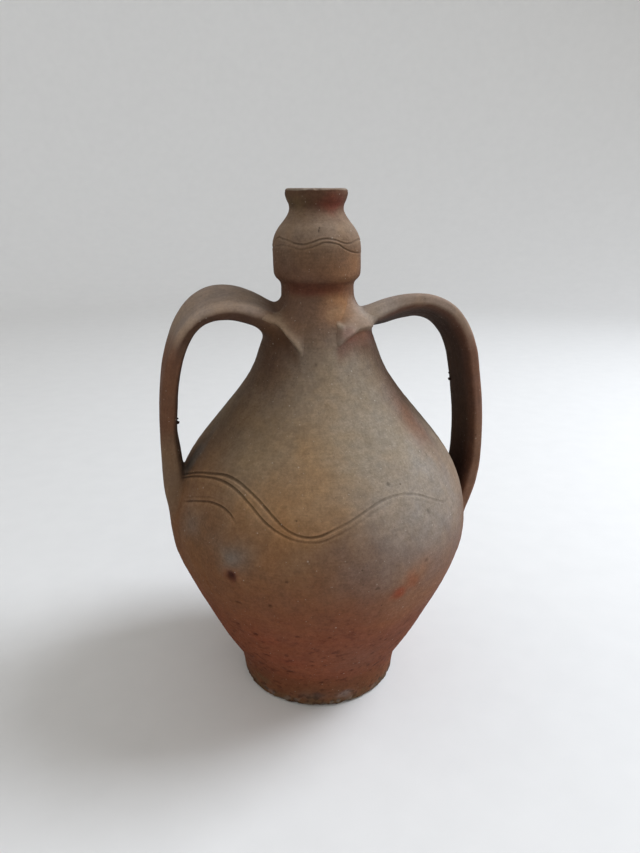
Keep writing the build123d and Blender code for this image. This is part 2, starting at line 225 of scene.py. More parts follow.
BULB_UPPER = [
    (-62.0, 293.4), (-50.0, 292.8), (-39.3, 292.1), (-27.1, 290.6), (-14.8, 290.4), (-5.1, 291.6), (4.4, 293.0),
    (14.0, 293.3), (24.2, 292.5), (33.0, 291.1), (41.0, 290.3), (48.6, 290.5), (60.0, 291.4), (72.0, 291.9),
    (86.0, 290.9), (100.0, 289.9), (114.0, 291.9), (128.0, 292.9), (142.0, 291.3), (156.0, 290.0),
    (170.0, 291.6), (-176.0, 292.9), (-162.0, 291.4), (-148.0, 290.0), (-134.0, 291.8),
    (-120.0, 293.1), (-106.0, 291.3), (-92.0, 289.9), (-76.0, 289.4),
]
BULB_LOWER = [
    (-62.0, 288.6), (-46.9, 289.4), (-38.0, 289.2), (-30.3, 288.5), (-21.9, 287.8), (-12.0, 288.2), (-1.4, 289.6),
    (8.2, 291.2), (15.9, 291.2), (23.0, 290.6), (29.3, 289.8), (35.1, 288.1), (45.0, 286.2), (58.6, 284.8),
    (72.0, 284.4), (84.0, 285.2), (98.0, 286.4), (112.0, 288.6), (128.0, 289.8), (142.0, 288.4), (156.0, 287.0),
    (170.0, 288.5), (-176.0, 289.9), (-162.0, 288.5), (-148.0, 287.0), (-134.0, 288.7),
    (-120.0, 290.0), (-106.0, 288.4), (-92.0, 287.0), (-76.0, 287.2),
]


def furrow(d, depth, half, low, high):
    """Cross-section of an incised line, d across it (up is positive), with a
    raised burr under (low) and over (high) it."""
    s = np.clip(1.0 - (d / half) ** 2, 0.0, 1.0)
    cut = -depth * s**1.3
    burr = low * np.exp(-(((d + half + 0.26) / 0.38) ** 2)) + high * np.exp(-(((d - half - 0.26) / 0.38) ** 2))
    return cut + burr


def band(points, angle, z, r):
    """Distance across a drawn line, up positive."""
    zc, slope = ring_curve(points, angle)
    s = slope / (r * math.pi / 180.0)
    return (z - zc) / np.sqrt(1.0 + s * s)


def pressure(angle, spans, soft=5.0):
    """Depth along a stroke: spans are (start, end, depth)."""
    out = 0.0
    for a, b, v in spans:
        mid, half = (a + b) / 2.0, (b - a) / 2.0
        out = out + v * smooth(half + soft / 2.0, half - soft / 2.0, np.abs(apart(angle, mid)))
    return out


def waves(angle, z, r):
    out = np.zeros_like(z)
    near = (z > 126.0) & (z < 172.0)
    a, zz, rr = angle[near], z[near], r[near]
    wear = 1.0 + 0.16 * np.sin(np.radians(a) * 7.0) + 0.10 * np.sin(np.radians(a) * 17.0 + 1.0)
    up = pressure(a, [(-78.5, 4.0, 0.62), (4.0, 46.0, 0.27), (46.0, 60.0, 0.17), (124.0, 268.0, 0.48)], 8.0)
    low = pressure(a, [(-78.5, -8.0, 0.58), (-8.0, 8.0, 0.26), (8.0, 24.0, 0.12), (24.0, 47.0, 0.05), (124.0, 268.0, 0.44)], 8.0)
    tail = pressure(a, [(-61.0, -31.0, 0.50)], 4.0)
    tail2 = pressure(a, [(-60.0, -42.0, 0.20)], 8.0)
    g = furrow(band(WAVE_UPPER, a, zz, rr), 1.0, 0.80, 0.36, 0.16) * up
    g += furrow(band(WAVE_LOWER, a, zz, rr), 1.0, 0.74, 0.38, 0.16) * low
    g += furrow(band(TAIL, a, zz, rr), 1.0, 0.72, 0.36, 0.16) * tail
    g += furrow(band(TAIL, a, zz, rr) - 2.4, 1.0, 0.55, 0.20, 0.10) * tail2
    out[near] = g * wear
    return out


def bulb_waves(angle, z, r):
    out = np.zeros_like(z)
    near = (z > 280.0) & (z < 297.0)
    a, zz, rr = angle[near], z[near], r[near]
    up = 0.36 + 0.08 * np.sin(np.radians(a) * 3.0 + 1.2) + 0.05 * np.sin(np.radians(a) * 11.0)
    low = 0.26 + 0.12 * np.sin(np.radians(a) * 2.0 + 0.3)
    out[near] = (
        furrow(band(BULB_UPPER, a, zz, rr), 1.0, 0.66, 0.40, 0.20) * up
        + furrow(band(BULB_LOWER, a, zz, rr), 1.0, 0.60, 0.36, 0.16) * low
    )
    return out


# ------------------------------------------------------- unevenness of the wall
# small hollows where grit fell out or flakes came off: angle, height, radius
# along the wall, radius up the wall, depth
PITS = [
    (-30.6, 115.0, 3.2, 3.2, 0.45),
    (-16.5, 99.6, 1.3, 1.1, 0.5), (-29.5, 96.2, 2.6, 0.8, 0.35), (-35.0, 74.2, 1.8, 0.9, 0.5),
    (-27.0, 69.6, 1.7, 1.1, 0.45), (-8.0, 74.8, 1.8, 0.9, 0.45), (5.0, 74.5, 1.2, 1.0, 0.5),
    (-26.0, 48.2, 2.3, 1.1, 0.6), (-2.6, 44.0, 1.0, 0.9, 0.4), (-16.0, 33.5, 2.6, 1.3, 0.6),
    (20.0, 34.0, 1.6, 0.8, 0.45), (-10.0, 118.3, 1.0, 0.8, 0.35), (20.5, 111.0, 1.2, 1.0, 0.45),
    (40.5, 119.5, 1.5, 1.0, 0.35), (59.0, 171.0, 0.9, 0.9, 0.3), (29.5, 165.0, 1.1, 0.8, 0.35),
    (44.5, 145.5, 1.2, 0.9, 0.4), (62.0, 40.0, 1.8, 3.0, 0.5), (3.2, 22.5, 1.0, 0.7, 0.35),
    (-46.0, 55.0, 1.4, 0.8, 0.35), (33.0, 60.0, 1.3, 0.8, 0.35), (12.0, 52.0, 1.1, 0.7, 0.3),
    (120.0, 60.0, 2.0, 1.1, 0.5), (150.0, 88.0, 1.4, 1.1, 0.4), (175.0, 46.0, 2.2, 1.0, 0.5),
    (-160.0, 72.0, 1.6, 1.0, 0.45), (-135.0, 50.0, 1.9, 1.0, 0.5), (-120.0, 98.0, 1.4, 1.2, 0.4),
    (-150.0, 180.0, 1.1, 0.9, 0.3), (165.0, 196.0, 1.2, 0.8, 0.3), (90.0, 34.0, 1.7, 0.9, 0.5),
    (205.0, 120.0, 1.3, 1.0, 0.4), (140.0, 132.0, 1.0, 1.0, 0.35), (-95.0, 64.0, 1.6, 0.9, 0.45),
    (2.0, 297.3, 0.5, 0.9, 0.25), (-1.0, 224.0, 0.8, 0.6, 0.2),
]
# shallow dents from handling while the clay was soft
DENTS = [
    (34.0, 84.0, 17.0, 20.0, 0.35), (-55.0, 92.0, 20.0, 24.0, 0.30), (14.0, 185.0, 16.0, 22.0, 0.30),
    (-34.0, 205.0, 12.0, 18.0, 0.25), (100.0, 60.0, 20.0, 20.0, 0.35), (170.0, 120.0, 22.0, 26.0, 0.35),
    (-130.0, 190.0, 16.0, 20.0, 0.30), (150.0, 200.0, 14.0, 18.0, 0.30), (-8.0, 40.0, 16.0, 14.0, 0.20),
]
# fine scratches: start angle, start height, end angle, end height, depth
SCRATCHES = [
    (4.0, 223.9, 13.4, 221.8, 0.16), (-6.4, 211.0, 11.1, 210.7, 0.12), (-14.0, 215.5, -3.0, 214.6, 0.08),
    (-20.0, 201.5, 4.0, 200.9, 0.07), (8.0, 196.0, 30.0, 197.2, 0.07), (-30.0, 186.0, -8.0, 185.2, 0.07),
    (150.0, 214.0, 172.0, 212.6, 0.12), (-160.0, 190.0, -138.0, 189.2, 0.09),
    (-12.5, 232.8, 19.0, 233.2, 0.20),
]


def drift(z):
    """How far the pot leans off its axis, to the camera's right."""
    return hermite([0, 60, 110, 160, 200, 232, 262, 290, 320], [0.1, 0.2, 0.5, 0.8, 0.8, 0.6, 0.1, -0.3, -0.5], z)[0]


def relief(angle, z):
    """Height of the real wall over the turned profile, along the radius."""
    shape = np.broadcast(angle, z).shape
    a = np.broadcast_to(np.asarray(angle, float), shape).ravel()
    h = np.broadcast_to(np.asarray(z, float), shape).ravel()
    r = outer(h)
    t = np.radians(a)
    p = point(a, r, h)
    size = smooth(12.0, 60.0, r) * 0.6 + 0.4
    out = drift(h) * np.sin(t) - 0.40 * smooth(84.0, 94.0, r)
    out += size * (0.16 * np.sin(t * 2.0 + 0.9 + h * 0.010) + 0.09 * np.sin(t * 3.0 - 0.7 - h * 0.021))
    out += size * (0.20 * noise(p, 24.0, 1) + 0.085 * noise(p, 8.0, 2)) + 0.035 * noise(p, 3.1, 3)
    out += 0.022 * noise(p, 1.7, 4)
    # throwing rings, a few millimetres apart and never quite even
    body = smooth(20.0, 34.0, h) * smooth(252.0, 232.0, h)
    phase = h / 5.2 + 0.35 * np.sin(t + 0.4) + 0.55 * noise(p * np.array([0.25, 0.25, 1.0]), 14.0, 5)
    out += 0.045 * body * np.sin(2.0 * math.pi * phase)
    lines = noise(p * np.array([0.05, 0.05, 1.0]), 1.5, 6)
    out += 0.022 * lines * smooth(150.0, 190.0, h) + 0.012 * lines
    for pa, pz, pw, ph, depth in PITS:
        near = (np.abs(h - pz) < ph * 2.4) & (np.abs(apart(a, pa)) * math.pi / 180.0 * r < pw * 2.4)
        if near.any():
            du = apart(a[near], pa) * math.pi / 180.0 * r[near] / pw
            dv = (h[near] - pz) / ph
            rag = 1.0 + 0.30 * noise(p[near], 1.4, 7)
            out[near] -= depth * np.exp(-((du * du + dv * dv) * rag) ** 1.25)
    for pa, pz, pw, ph, depth in DENTS:
        du = apart(a, pa) * math.pi / 180.0 * r / pw
        dv = (h - pz) / ph
        out -= depth * np.exp(-(du * du + dv * dv))
    for a0, z0, a1, z1, depth in SCRATCHES:
        s = apart(a, a0) / (a1 - a0)
        near = (s > -0.05) & (s < 1.05) & (np.abs(h - z0 - (z1 - z0) * s) < 1.6)
        if near.any():
            line = z0 + (z1 - z0) * s[near] + 0.35 * noise(p[near] * np.array([1.0, 1.0, 0.0]), 6.0, 8)
            ends = smooth(-0.05, 0.06, s[near]) * smooth(1.05, 0.92, s[near])
            out[near] -= depth * ends * np.exp(-(((h[near] - line) / 0.42) ** 2))
    out += waves(a, h, r)
    out += bulb_waves(a, h, r)
    return out.reshape(shape)


# --------------------------------------------------------------------- colours
# Soft patches on the fired clay, some of them painted shade or painted light as
# marked below: angle, height, half width and half height in mm, colour it leans
# to, strength. Colours are linear.
def tone(r, g, b):
    c = np.array([r, g, b]) / 255.0
    return np.where(c <= 0.04045, c / 12.92, ((c + 0.055) / 1.055) ** 2.4)


GREY = tone(141, 137, 130)
GREY_TAN = tone(146, 126, 103)
TAN = tone(142, 114, 86)
WARM = tone(112, 78, 48)
BROWN = tone(112, 78, 57)
RED = tone(112, 64, 44)
ORANGE = tone(158, 112, 72)
MAUVE = tone(112, 94, 84)
BLUE_GREY = tone(112, 108, 100)
DARK = tone(72, 46, 35)
PALE = tone(190, 178, 160)
OLIVE = tone(92, 78, 56)
RUST = tone(132, 62, 40)
SOOT = tone(50, 30, 28)
SHADE = tone(76, 52, 36)

# The fired colour from the foot up: red brown, deepened low down as painted warm
# bounce light, brown, tan, grey tan, then browner again on the neck, partly
# painted shade under the bulb, and paler on top of the bulb.
FIRED = [
    (0.0, tone(106, 69, 47)), (28.0, tone(119, 67, 45)), (72.0, tone(117, 66, 46)), (108.0, tone(111, 72, 51)),
    (132.0, tone(112, 82, 60)), (158.0, tone(131, 106, 81)), (185.0, tone(129, 114, 93)), (222.0, tone(129, 114, 97)),
    (248.0, tone(103, 80, 64)), (270.0, tone(94, 67, 52)), (287.0, tone(104, 82, 65)), (299.0, tone(132, 111, 92)),
    (306.0, tone(116, 94, 76)), (311.0, tone(76, 53, 40)), (320.0, tone(84, 60, 45)),
]

PATCHES = [
    # broad washes: greyer on the right, warmer low on the left; partly the clay's own tone, partly painted cool light
    # on the right and painted warm bounce light low on the left
    (52.0, 158.0, 52.0, 52.0, GREY, 0.62),
    (24.0, 192.0, 26.0, 26.0, GREY_TAN, 0.35),
    (-56.0, 104.0, 58.0, 48.0, WARM, 0.62),
    (-64.0, 165.0, 30.0, 40.0, BROWN, 0.55),
    (-9.0, 168.0, 24.0, 30.0, tone(150, 112, 72), 0.42),
    (-46.0, 182.0, 26.0, 30.0, tone(94, 72, 51), 0.50),
    # painted shade under the right arch
    (74.0, 194.0, 15.0, 32.0, tone(94, 68, 53), 0.60),
    (-60.0, 58.0, 26.0, 40.0, tone(112, 58, 34), 0.60),
    (60.0, 52.0, 26.0, 34.0, tone(118, 66, 44), 0.60),
    (-16.0, 138.0, 20.0, 18.0, ORANGE, 0.22),
    (17.0, 126.0, 24.0, 15.0, MAUVE, 0.50),
    (38.0, 96.0, 26.0, 18.0, ORANGE, 0.22),
    # painted shade under the two arches and below their roots
    (84.0, 214.0, 20.0, 32.0, SHADE, 0.85),
    (64.0, 186.0, 10.0, 16.0, RED, 0.40),
    (-62.0, 222.0, 26.0, 26.0, SHADE, 0.85),
    (-40.0, 236.0, 8.0, 4.0, SHADE, 0.80),
    (56.0, 230.5, 11.0, 5.0, DARK, 0.60),
    (-118.0, 222.0, 18.0, 22.0, SHADE, 0.60),
    (128.0, 216.0, 14.0, 24.0, SHADE, 0.55),
    # stains
    (-30.7, 128.0, 13.0, 10.0, BLUE_GREY, 0.60),
    (-52.0, 136.0, 11.0, 10.0, BLUE_GREY, 0.32),
    (29.6, 102.5, 4.4, 4.2, RUST, 0.82),
    (34.0, 109.0, 6.0, 7.0, tone(132, 70, 42), 0.55),
    (39.0, 117.0, 9.0, 9.0, tone(138, 92, 60), 0.50),
    (-30.6, 115.0, 3.3, 3.3, SOOT, 0.94),
    (-30.6, 115.0, 5.4, 5.2, RUST, 0.25),
    (-14.0, 46.0, 12.0, 6.0, RUST, 0.30),
    (-24.0, 66.0, 10.0, 5.0, RUST, 0.28),
    (12.0, 30.0, 9.0, 5.0, RUST, 0.22),
    (22.0, 50.0, 24.0, 16.0, MAUVE, 0.22),
    (0.4, 9.8, 4.2, 2.2, SOOT, 0.70),
    (-4.0, 9.0, 10.0, 3.4, MAUVE, 0.42),
    (19.9, 8.6, 5.5, 3.4, GREY, 0.38),
    (-44.0, 12.0, 7.0, 3.0, OLIVE, 0.50),
    (-72.0, 158.0, 6.0, 17.0, BLUE_GREY, 0.65),
    (-74.0, 147.0, 3.2, 12.0, SOOT, 0.55),
    (100.0, 148.0, 10.0, 20.0, SOOT, 0.70),
    (10.0, 264.5, 14.0, 2.6, RUST, 0.30),
    (44.0, 252.0, 12.0, 11.0, ORANGE, 0.50),
    (33.0, 240.0, 5.0, 4.0, RUST, 0.45),
    (26.0, 251.5, 7.0, 3.0, TAN, 0.35),
    (48.0, 276.0, 12.0, 8.0, ORANGE, 0.30),
    (34.0, 311.5, 11.0, 5.0, tone(104, 48, 38), 0.62),
    (-50.0, 312.0, 10.0, 5.0, OLIVE, 0.55),
    # the sides that the photograph doesn't show
    (120.0, 110.0, 40.0, 40.0, BROWN, 0.45),
    (165.0, 170.0, 34.0, 34.0, GREY, 0.40),
    (-150.0, 150.0, 34.0, 44.0, ORANGE, 0.22),
    (-175.0, 70.0, 34.0, 26.0, WARM, 0.35),
    (-120.0, 110.0, 22.0, 18.0, MAUVE, 0.45),
    (140.0, 140.0, 14.0, 12.0, BLUE_GREY, 0.40),
    (175.0, 118.0, 5.0, 6.0, RUST, 0.40),
    (-140.0, 60.0, 4.0, 3.0, SOOT, 0.45),
]


def clay(p):
    """Colour of the fired clay at a point of the pot's outside, linear, with painted shade and painted light worked in.
    """
    h = p[:, 2]
    a = angle_of(p)
    r = np.hypot(p[:, 0], p[:, 1])
    mist = cloudy(p, 34.0, 31, 3)
    fine = cloudy(p, 9.0, 41, 2)
    wander = smooth(262.0, 225.0, h)
    lift = h + (12.0 * mist + 4.0 * fine) * wander + 0.8 * fine
    stops = np.array([z for z, _ in FIRED])
    tones = np.array([t for _, t in FIRED])
    c = np.stack([np.interp(lift, stops, tones[:, k]) for k in range(3)], -1)
    for pa, pz, pw, ph, to, much in PATCHES:
        du = apart(a, pa) * math.pi / 180.0 * np.maximum(r, 15.0)
        dv = h - pz
        ok = (np.abs(du) < pw * 2.6) & (np.abs(dv) < ph * 2.6)
        if ok.any():
            wob = min(pw, ph)
            du = du[ok] + 0.45 * wob * noise(p[ok], wob * 1.3, 51)
            dv = dv[ok] + 0.45 * wob * noise(p[ok], wob * 1.3, 52)
            w = much * np.exp(-(((du / pw) ** 2 + (dv / ph) ** 2) ** (1.4 if pw < 8 else 1.0)))
            c[ok] = c[ok] + (to - c[ok]) * w[:, None]
    # painted shade: a dark ring in the corner under the bulb, strongest on the side towards the camera
    ring = smooth(258.5, 264.5, h + 0.8 * fine) * smooth(270.2, 267.6, h)
    c = c + (tone(74, 40, 28) - c) * (0.75 * ring * smooth(80.0, 30.0, np.abs(apart(a, 0.0))))[:, None]
    # the top of the rim is paler: partly wear, partly a painted highlight from above
    c = c + (PALE - c) * (0.34 * smooth(318.4, 319.6, h + 0.5 * fine))[:, None]
    # dirt line and crust at the foot, and the foot darker along its bottom edge
    low = smooth(8.5, 1.0, h + 3.0 * fine + 3.0 * noise(p, 5.0, 61))
    c = c + (OLIVE - c) * (0.70 * low)[:, None]
    crumbs = smooth(0.15, 0.5, noise(p, 2.6, 63)) * smooth(12.0, 3.0, h + 3.0 * noise(p, 8.0, 64))
    c = c + (DARK * 0.7 - c) * (0.60 * crumbs)[:, None]
    grey = smooth(0.25, 0.6, noise(p, 3.2, 65)) * smooth(9.0, 2.0, h)
    c = c + (GREY - c) * (0.28 * grey)[:, None]
    edge = smooth(2.2, 0.3, h + 1.2 * noise(p, 3.0, 62))
    c = c + (DARK * 0.6 - c) * (0.55 * edge)[:, None]
    # red-dark grit marks that thicken towards the foot
    marks = smooth(0.42, 0.66, noise(p * np.array([1.0, 1.0, 1.5]), 3.4, 66)) * smooth(110.0, 40.0, h)
    c = c * (1.0 - 0.34 * marks)[:, None]
    c = c * (1.0 + 0.07 * mist + 0.06 * fine + 0.05 * noise(p, 3.5, 43))[:, None]
    # painted shade under the left ridge, and red-brown painted shade under the right tongue
    near = (h > 218.0) & (h < 256.0)
    if near.any():
        an, hn = a[near], h[near] + 1.2 * mist[near]
        off = np.abs(apart(an, LEFT_HANDLE))
        crest = hermite([12, 28.9, 40.9, 49.2, 56.6, 62.7, 66], [251.6, 248.5, 244.0, 239.7, 235.8, 231.6, 228.6], off)[0]
        w = np.exp(-(((hn - crest + 7.0) / 4.6) ** 2)) * smooth(65.0, 56.0, off)
        cn = c[near] + (SHADE - c[near]) * (0.62 * w)[:, None]
        off = np.abs(apart(an, RIGHT_HANDLE))
        low = hermite([20, 33, 41, 48.5, 59.1, 69.2, 76.7, 83.4, 90], [239.0, 239.8, 240.8, 241.2, 240.2, 238.0, 235.9, 233.9, 233.6], off)[0]
        w = smooth(1.0, -1.4, hn - low) * smooth(-13.0, -3.0, hn - low) * smooth(88.0, 80.0, off)
        c[near] = cn + (tone(94, 56, 46) - cn) * (0.58 * w)[:, None]
    # the furrows are darker and their burrs paler
    g = waves(a, h, outer(h)) + bulb_waves(a, h, outer(h))
    c = c * (1.0 - 0.46 * np.clip(-g / 0.5, 0.0, 1.0))[:, None]
    c = c * (1.0 + 0.38 * np.clip(g / 0.20, 0.0, 1.0))[:, None]
    for pa, pz, pw, ph, depth in PITS:
        ok = (np.abs(h - pz) < ph * 2.4) & (np.abs(apart(a, pa)) * math.pi / 180.0 * r < pw * 2.4)
        if ok.any():
            du = apart(a[ok], pa) * math.pi / 180.0 * r[ok] / pw
            dv = (h[ok] - pz) / ph
            c[ok] *= (1.0 - 0.55 * np.exp(-((du * du + dv * dv) ** 1.25)))[:, None]
    return np.clip(c, 0.002, 0.9)


def inside(p):
    """Colour of the inside, darker than the outside."""
    c = np.repeat((DARK * 1.25)[None], len(p), 0)
    return c * (1.0 + 0.12 * cloudy(p, 14.0, 71, 2))[:, None]


# ---------------------------------------------------------------------- meshes
def write_mesh(name, verts, faces, colour, grain, crisp=None):
    """A mesh object from points in mm, quads or triangles, linear colours and the
    coordinates that its fine streaks follow."""
    me = bpy.data.meshes.new(name)
    me.vertices.add(len(verts))
    me.vertices.foreach_set("co", (np.asarray(verts) * 0.001).astype(np.float32).ravel())
    sizes = np.array([len(f) for f in faces], np.int64) if isinstance(faces, list) else np.full(len(faces), faces.shape[1])
    corners = np.concatenate([np.asarray(f) for f in faces]) if isinstance(faces, list) else faces.ravel()
    me.loops.add(len(corners))
    me.loops.foreach_set("vertex_index", corners.astype(np.int32))
    me.polygons.add(len(sizes))
    me.polygons.foreach_set("loop_start", np.concatenate([[0], np.cumsum(sizes)[:-1]]).astype(np.int32))
    me.polygons.foreach_set("loop_total", sizes.astype(np.int32))
    me.update(calc_edges=True)
    me.validate()
    me.shade_smooth()
    if crisp is not None:
        # edges whose two ends are both marked keep a hard shading edge
        ends = np.empty(len(me.edges) * 2, np.int32)
        me.edges.foreach_get("vertices", ends)
        ends = ends.reshape(-1, 2)
        ring = crisp[ends]
        hard = (ring[:, 0] >= 0) & (ring[:, 0] == ring[:, 1])
        me.attributes.new(name="sharp_edge", type="BOOLEAN", domain="EDGE").data.foreach_set("value", hard)
    rgba = np.ones((len(verts), 4), np.float32)
    rgba[:, :3] = colour
    me.color_attributes.new(name="clay", type="FLOAT_COLOR", domain="POINT").data.foreach_set("color", rgba.ravel())
    me.attributes.new(name="grain", type="FLOAT_VECTOR", domain="POINT").data.foreach_set("vector", grain.astype(np.float32).ravel())
    ob = bpy.data.objects.new(name, me)
    bpy.context.scene.collection.objects.link(ob)
    return ob


def body_grain(p):
    """Streaks that run round the pot."""
    return p * np.array([1 / 20.0, 1 / 20.0, 1 / 0.9])


class Loop:
    """Rows of points round the pot that together make one closed turned piece."""

    def __init__(self, cols):
        self.cols = cols
        self.angle = np.arange(cols) * 360.0 / cols - 180.0
        self.rows, self.kinds = [], []

    def wall(self, z):
        """Rows on the outside, z a list of heights or of per-column heights."""
        for h in z:
            h = np.broadcast_to(np.asarray(h, float), (self.cols,))
            self.rows.append((outer(h) + relief(self.angle, h), h))
            self.kinds.append(0)

    def plain(self, points, kind=1, uneven=0.0, seed=80):
        for r, z in points:
            r = np.full(self.cols, float(r))
            z = np.full(self.cols, float(z))
            if uneven:
                r = r + uneven * noise(point(self.angle, r, z), 12.0, seed)
            self.rows.append((r, z))
            self.kinds.append(kind)

    def edit(self, k, r=None, z=None, kind=None):
        old = self.rows[k]
        self.rows[k] = (old[0] if r is None else r, old[1] if z is None else z)
        if kind is not None:
            self.kinds[k] = kind

    def mesh(self, name, poles=False):
        n, m = len(self.rows), self.cols
        pts = np.concatenate([point(self.angle, r, z) for r, z in self.rows])
        kinds = np.repeat(self.kinds, m)
        i = np.arange(n if not poles else n - 1)[:, None] * m
        j = np.arange(m)[None]
        k = (np.arange(n if not poles else n - 1)[:, None] + 1) % n * m
        nxt = (j + 1) % m
        quads = np.stack([i + j, i + nxt, k + nxt, k + j], -1).reshape(-1, 4)
        faces = quads
        if poles:
            z0, z1 = self.rows[0][1][0], self.rows[-1][1][0]
            pts = np.concatenate([pts, [[0, 0, z0], [0, 0, z1]]])
            kinds = np.concatenate([kinds, [self.kinds[0], self.kinds[-1]]])
            j = np.arange(m)
            nxt = (j + 1) % m
            low = np.stack([nxt, j, np.full(m, n * m)], -1)
            top = np.stack([(n - 1) * m + j, (n - 1) * m + nxt, np.full(m, n * m + 1)], -1)
            faces = [f for f in quads.tolist()] + low.tolist() + top.tolist()
        # rows where the outside wall turns into a lap step
        row = np.repeat(np.arange(n), m)
        crisp = np.full(len(pts), -1)
        for k in range(n):
            before, after = self.kinds[k - 1], self.kinds[(k + 1) % n]
            if self.kinds[k] == 0 and (before == 1 or after == 1) and not (poles and k in (0, n - 1)) and self.rows[k][1].mean() < 317.0:
                crisp[: n * m][row == k] = k
        colour = np.empty((len(pts), 3))
        out = kinds == 0
        colour[out] = clay(pts[out])
        colour[~out] = inside(pts[~out])
        return write_mesh(name, pts, faces, colour, body_grain(pts), crisp)


def spaced(a, b, step):
    """Heights from a to b, both included."""
    n = max(1, int(round(abs(b - a) / step)))
    return [a + (b - a) * i / n for i in range(n + 1)]


def make_foot():
    g = Loop(704)
    # worn lower edge: the flat underside rounds up into the wall, nibbled here and there
    edge = [(48.4, 0.0), (49.6, 0.05), (50.4, 0.30), (51.0, 0.75)]
    g.plain([(r, 0.0) for r in (8, 16, 24, 32, 40, 45)], kind=0)
    for r, z in edge:
        g.plain([(r, z)], kind=0)
        q = point(g.angle, np.full(g.cols, r), np.full(g.cols, z))
        nib = np.clip(noise(q, 7.0, 91) - 0.15, 0, 1) * 0.9 + np.clip(noise(q, 2.2, 92), 0, 1) * 0.35
        k = len(g.rows) - 1
        w = smooth(48.0, 50.8, r)
        g.edit(k, r=g.rows[k][0] - nib * w + drift(0.0) * np.sin(np.radians(g.angle)), z=g.rows[k][1] + nib * 0.55 * w)
    heights = spaced(FOOT_EDGE + 0.15, SEAM_FOOT, 0.45)
    g.wall(heights)
    for k in range(len(g.rows) - len(heights), len(g.rows)):
        r, z = g.rows[k]
        q = point(g.angle, r, z)
        nib = np.clip(noise(q, 7.0, 91) - 0.15, 0, 1) * 0.9 + np.clip(noise(q, 2.2, 92), 0, 1) * 0.35
        crust = np.clip(noise(q, 3.4, 93) - 0.05, 0, 1) * 0.55 * smooth(7.5, 3.0, z + 2.0 * noise(q, 9.0, 94))
        g.edit(k, r=r - nib * smooth(4.0, 1.2, z) + crust)
    lap_r, lap_h = LAP_FOOT
    g.plain([
        (lap_r, SEAM_FOOT), (lap_r, SEAM_FOOT + lap_h), (inner(SEAM_FOOT + lap_h), SEAM_FOOT + lap_h),
        (inner(SEAM_FOOT), SEAM_FOOT), (inner(15.0), 15.0), (38.0, FLOOR + 1.0), (30.0, FLOOR + 0.2), (20.0, FLOOR), (8.0, FLOOR),
    ])
    return g.mesh("foot", poles=True)


def make_lower_belly():
    g = Loop(704)
    g.wall(spaced(SEAM_FOOT, SEAM_BELLY, 0.93))
    top = SEAM_BELLY + LAP_BELLY[1]
    low = SEAM_FOOT + LAP_FOOT[1]
    g.plain([(LAP_BELLY[0], SEAM_BELLY), (LAP_BELLY[0], top)])
    g.plain([(float(inner(z)), z) for z in spaced(top, low, 9.0)], uneven=0.25)
    g.plain([(LAP_FOOT[0], low), (LAP_FOOT[0], SEAM_FOOT)])
    return g.mesh("lower_belly")


def make_shoulder():
    g = Loop(704)
    a = g.angle
    tail, low, up = ring_curve(TAIL, a)[0], ring_curve(WAVE_LOWER, a)[0], ring_curve(WAVE_UPPER, a)[0]
    stops = [
        (np.full_like(a, SEAM_BELLY), 0), (tail - 1.35, 15), (tail + 3.5, 16), (np.maximum(low - 1.35, tail + 3.9), 4),
        (low + 1.15, 9), (np.maximum(up - 1.2, low + 1.3), 2), (up + 1.35, 9), (np.full_like(a, SEAM_NECK), 56),
    ]
    rows = [stops[0][0]]
    for (z0, _), (z1, n) in zip(stops, stops[1:]):
        for k in range(1, n + 1):
            s = k / n
            if n > 40:  # rows open out from the fine band to the plain shoulder
                s = s * (0.62 + 0.38 * s)
            rows.append(z0 + (z1 - z0) * s)
    g.wall(rows)
    foot = SEAM_NECK - LAP_NECK[1]
    top = SEAM_BELLY + LAP_BELLY[1]
    g.plain([(LAP_NECK[0], SEAM_NECK), (LAP_NECK[0], foot)])
    g.plain([(float(inner(z)), z) for z in spaced(foot, top, 10.0)], uneven=0.25)
    g.plain([(LAP_BELLY[0], top), (LAP_BELLY[0], SEAM_BELLY)])
    return g.mesh("shoulder")


def make_neck():
    g = Loop(512)
    g.wall(spaced(SEAM_NECK, 255.0, 0.8) + spaced(255.0, SEAM_BULB, 0.42)[1:])
    top, foot = SEAM_BULB + LAP_BULB[1], SEAM_NECK - LAP_NECK[1]
    g.plain([(LAP_BULB[0], SEAM_BULB), (LAP_BULB[0], top), (float(inner(top)) - 0.4, top)])
    g.plain([(float(inner(z)), z) for z in spaced(SEAM_BULB, foot, 4.0)])
    g.plain([(LAP_NECK[0], foot), (LAP_NECK[0], SEAM_NECK)])
    return g.mesh("neck")


def make_bulb():
    g = Loop(512)
    a = g.angle
    low, up = ring_curve(BULB_LOWER, a)[0], ring_curve(BULB_UPPER, a)[0]
    low = np.minimum(low, up - 1.1)
    stops = [
        (np.full_like(a, SEAM_BULB), 0), (np.full_like(a, 275.0), 22), (low - 1.0, 14), (low + 0.6, 8),
        (np.maximum(up - 0.8, low + 0.7), 4), (up + 1.0, 8), (np.full_like(a, 302.0), 16), (np.full_like(a, SEAM_LIP), 18),
    ]
    rows = [stops[0][0]]
    for (z0, _), (z1, n) in zip(stops, stops[1:]):
        rows += [z0 + (z1 - z0) * k / n for k in range(1, n + 1)]
    g.wall(rows)
    top, foot = SEAM_BULB + LAP_BULB[1], SEAM_LIP - LAP_LIP[1]
    g.plain([(LAP_LIP[0], SEAM_LIP), (LAP_LIP[0], foot)])
    g.plain([(float(inner(z)), z) for z in spaced(foot, top + 1.5, 3.0)])
    g.plain([(LAP_BULB[0], top), (LAP_BULB[0], SEAM_BULB)])
    return g.mesh("bulb")


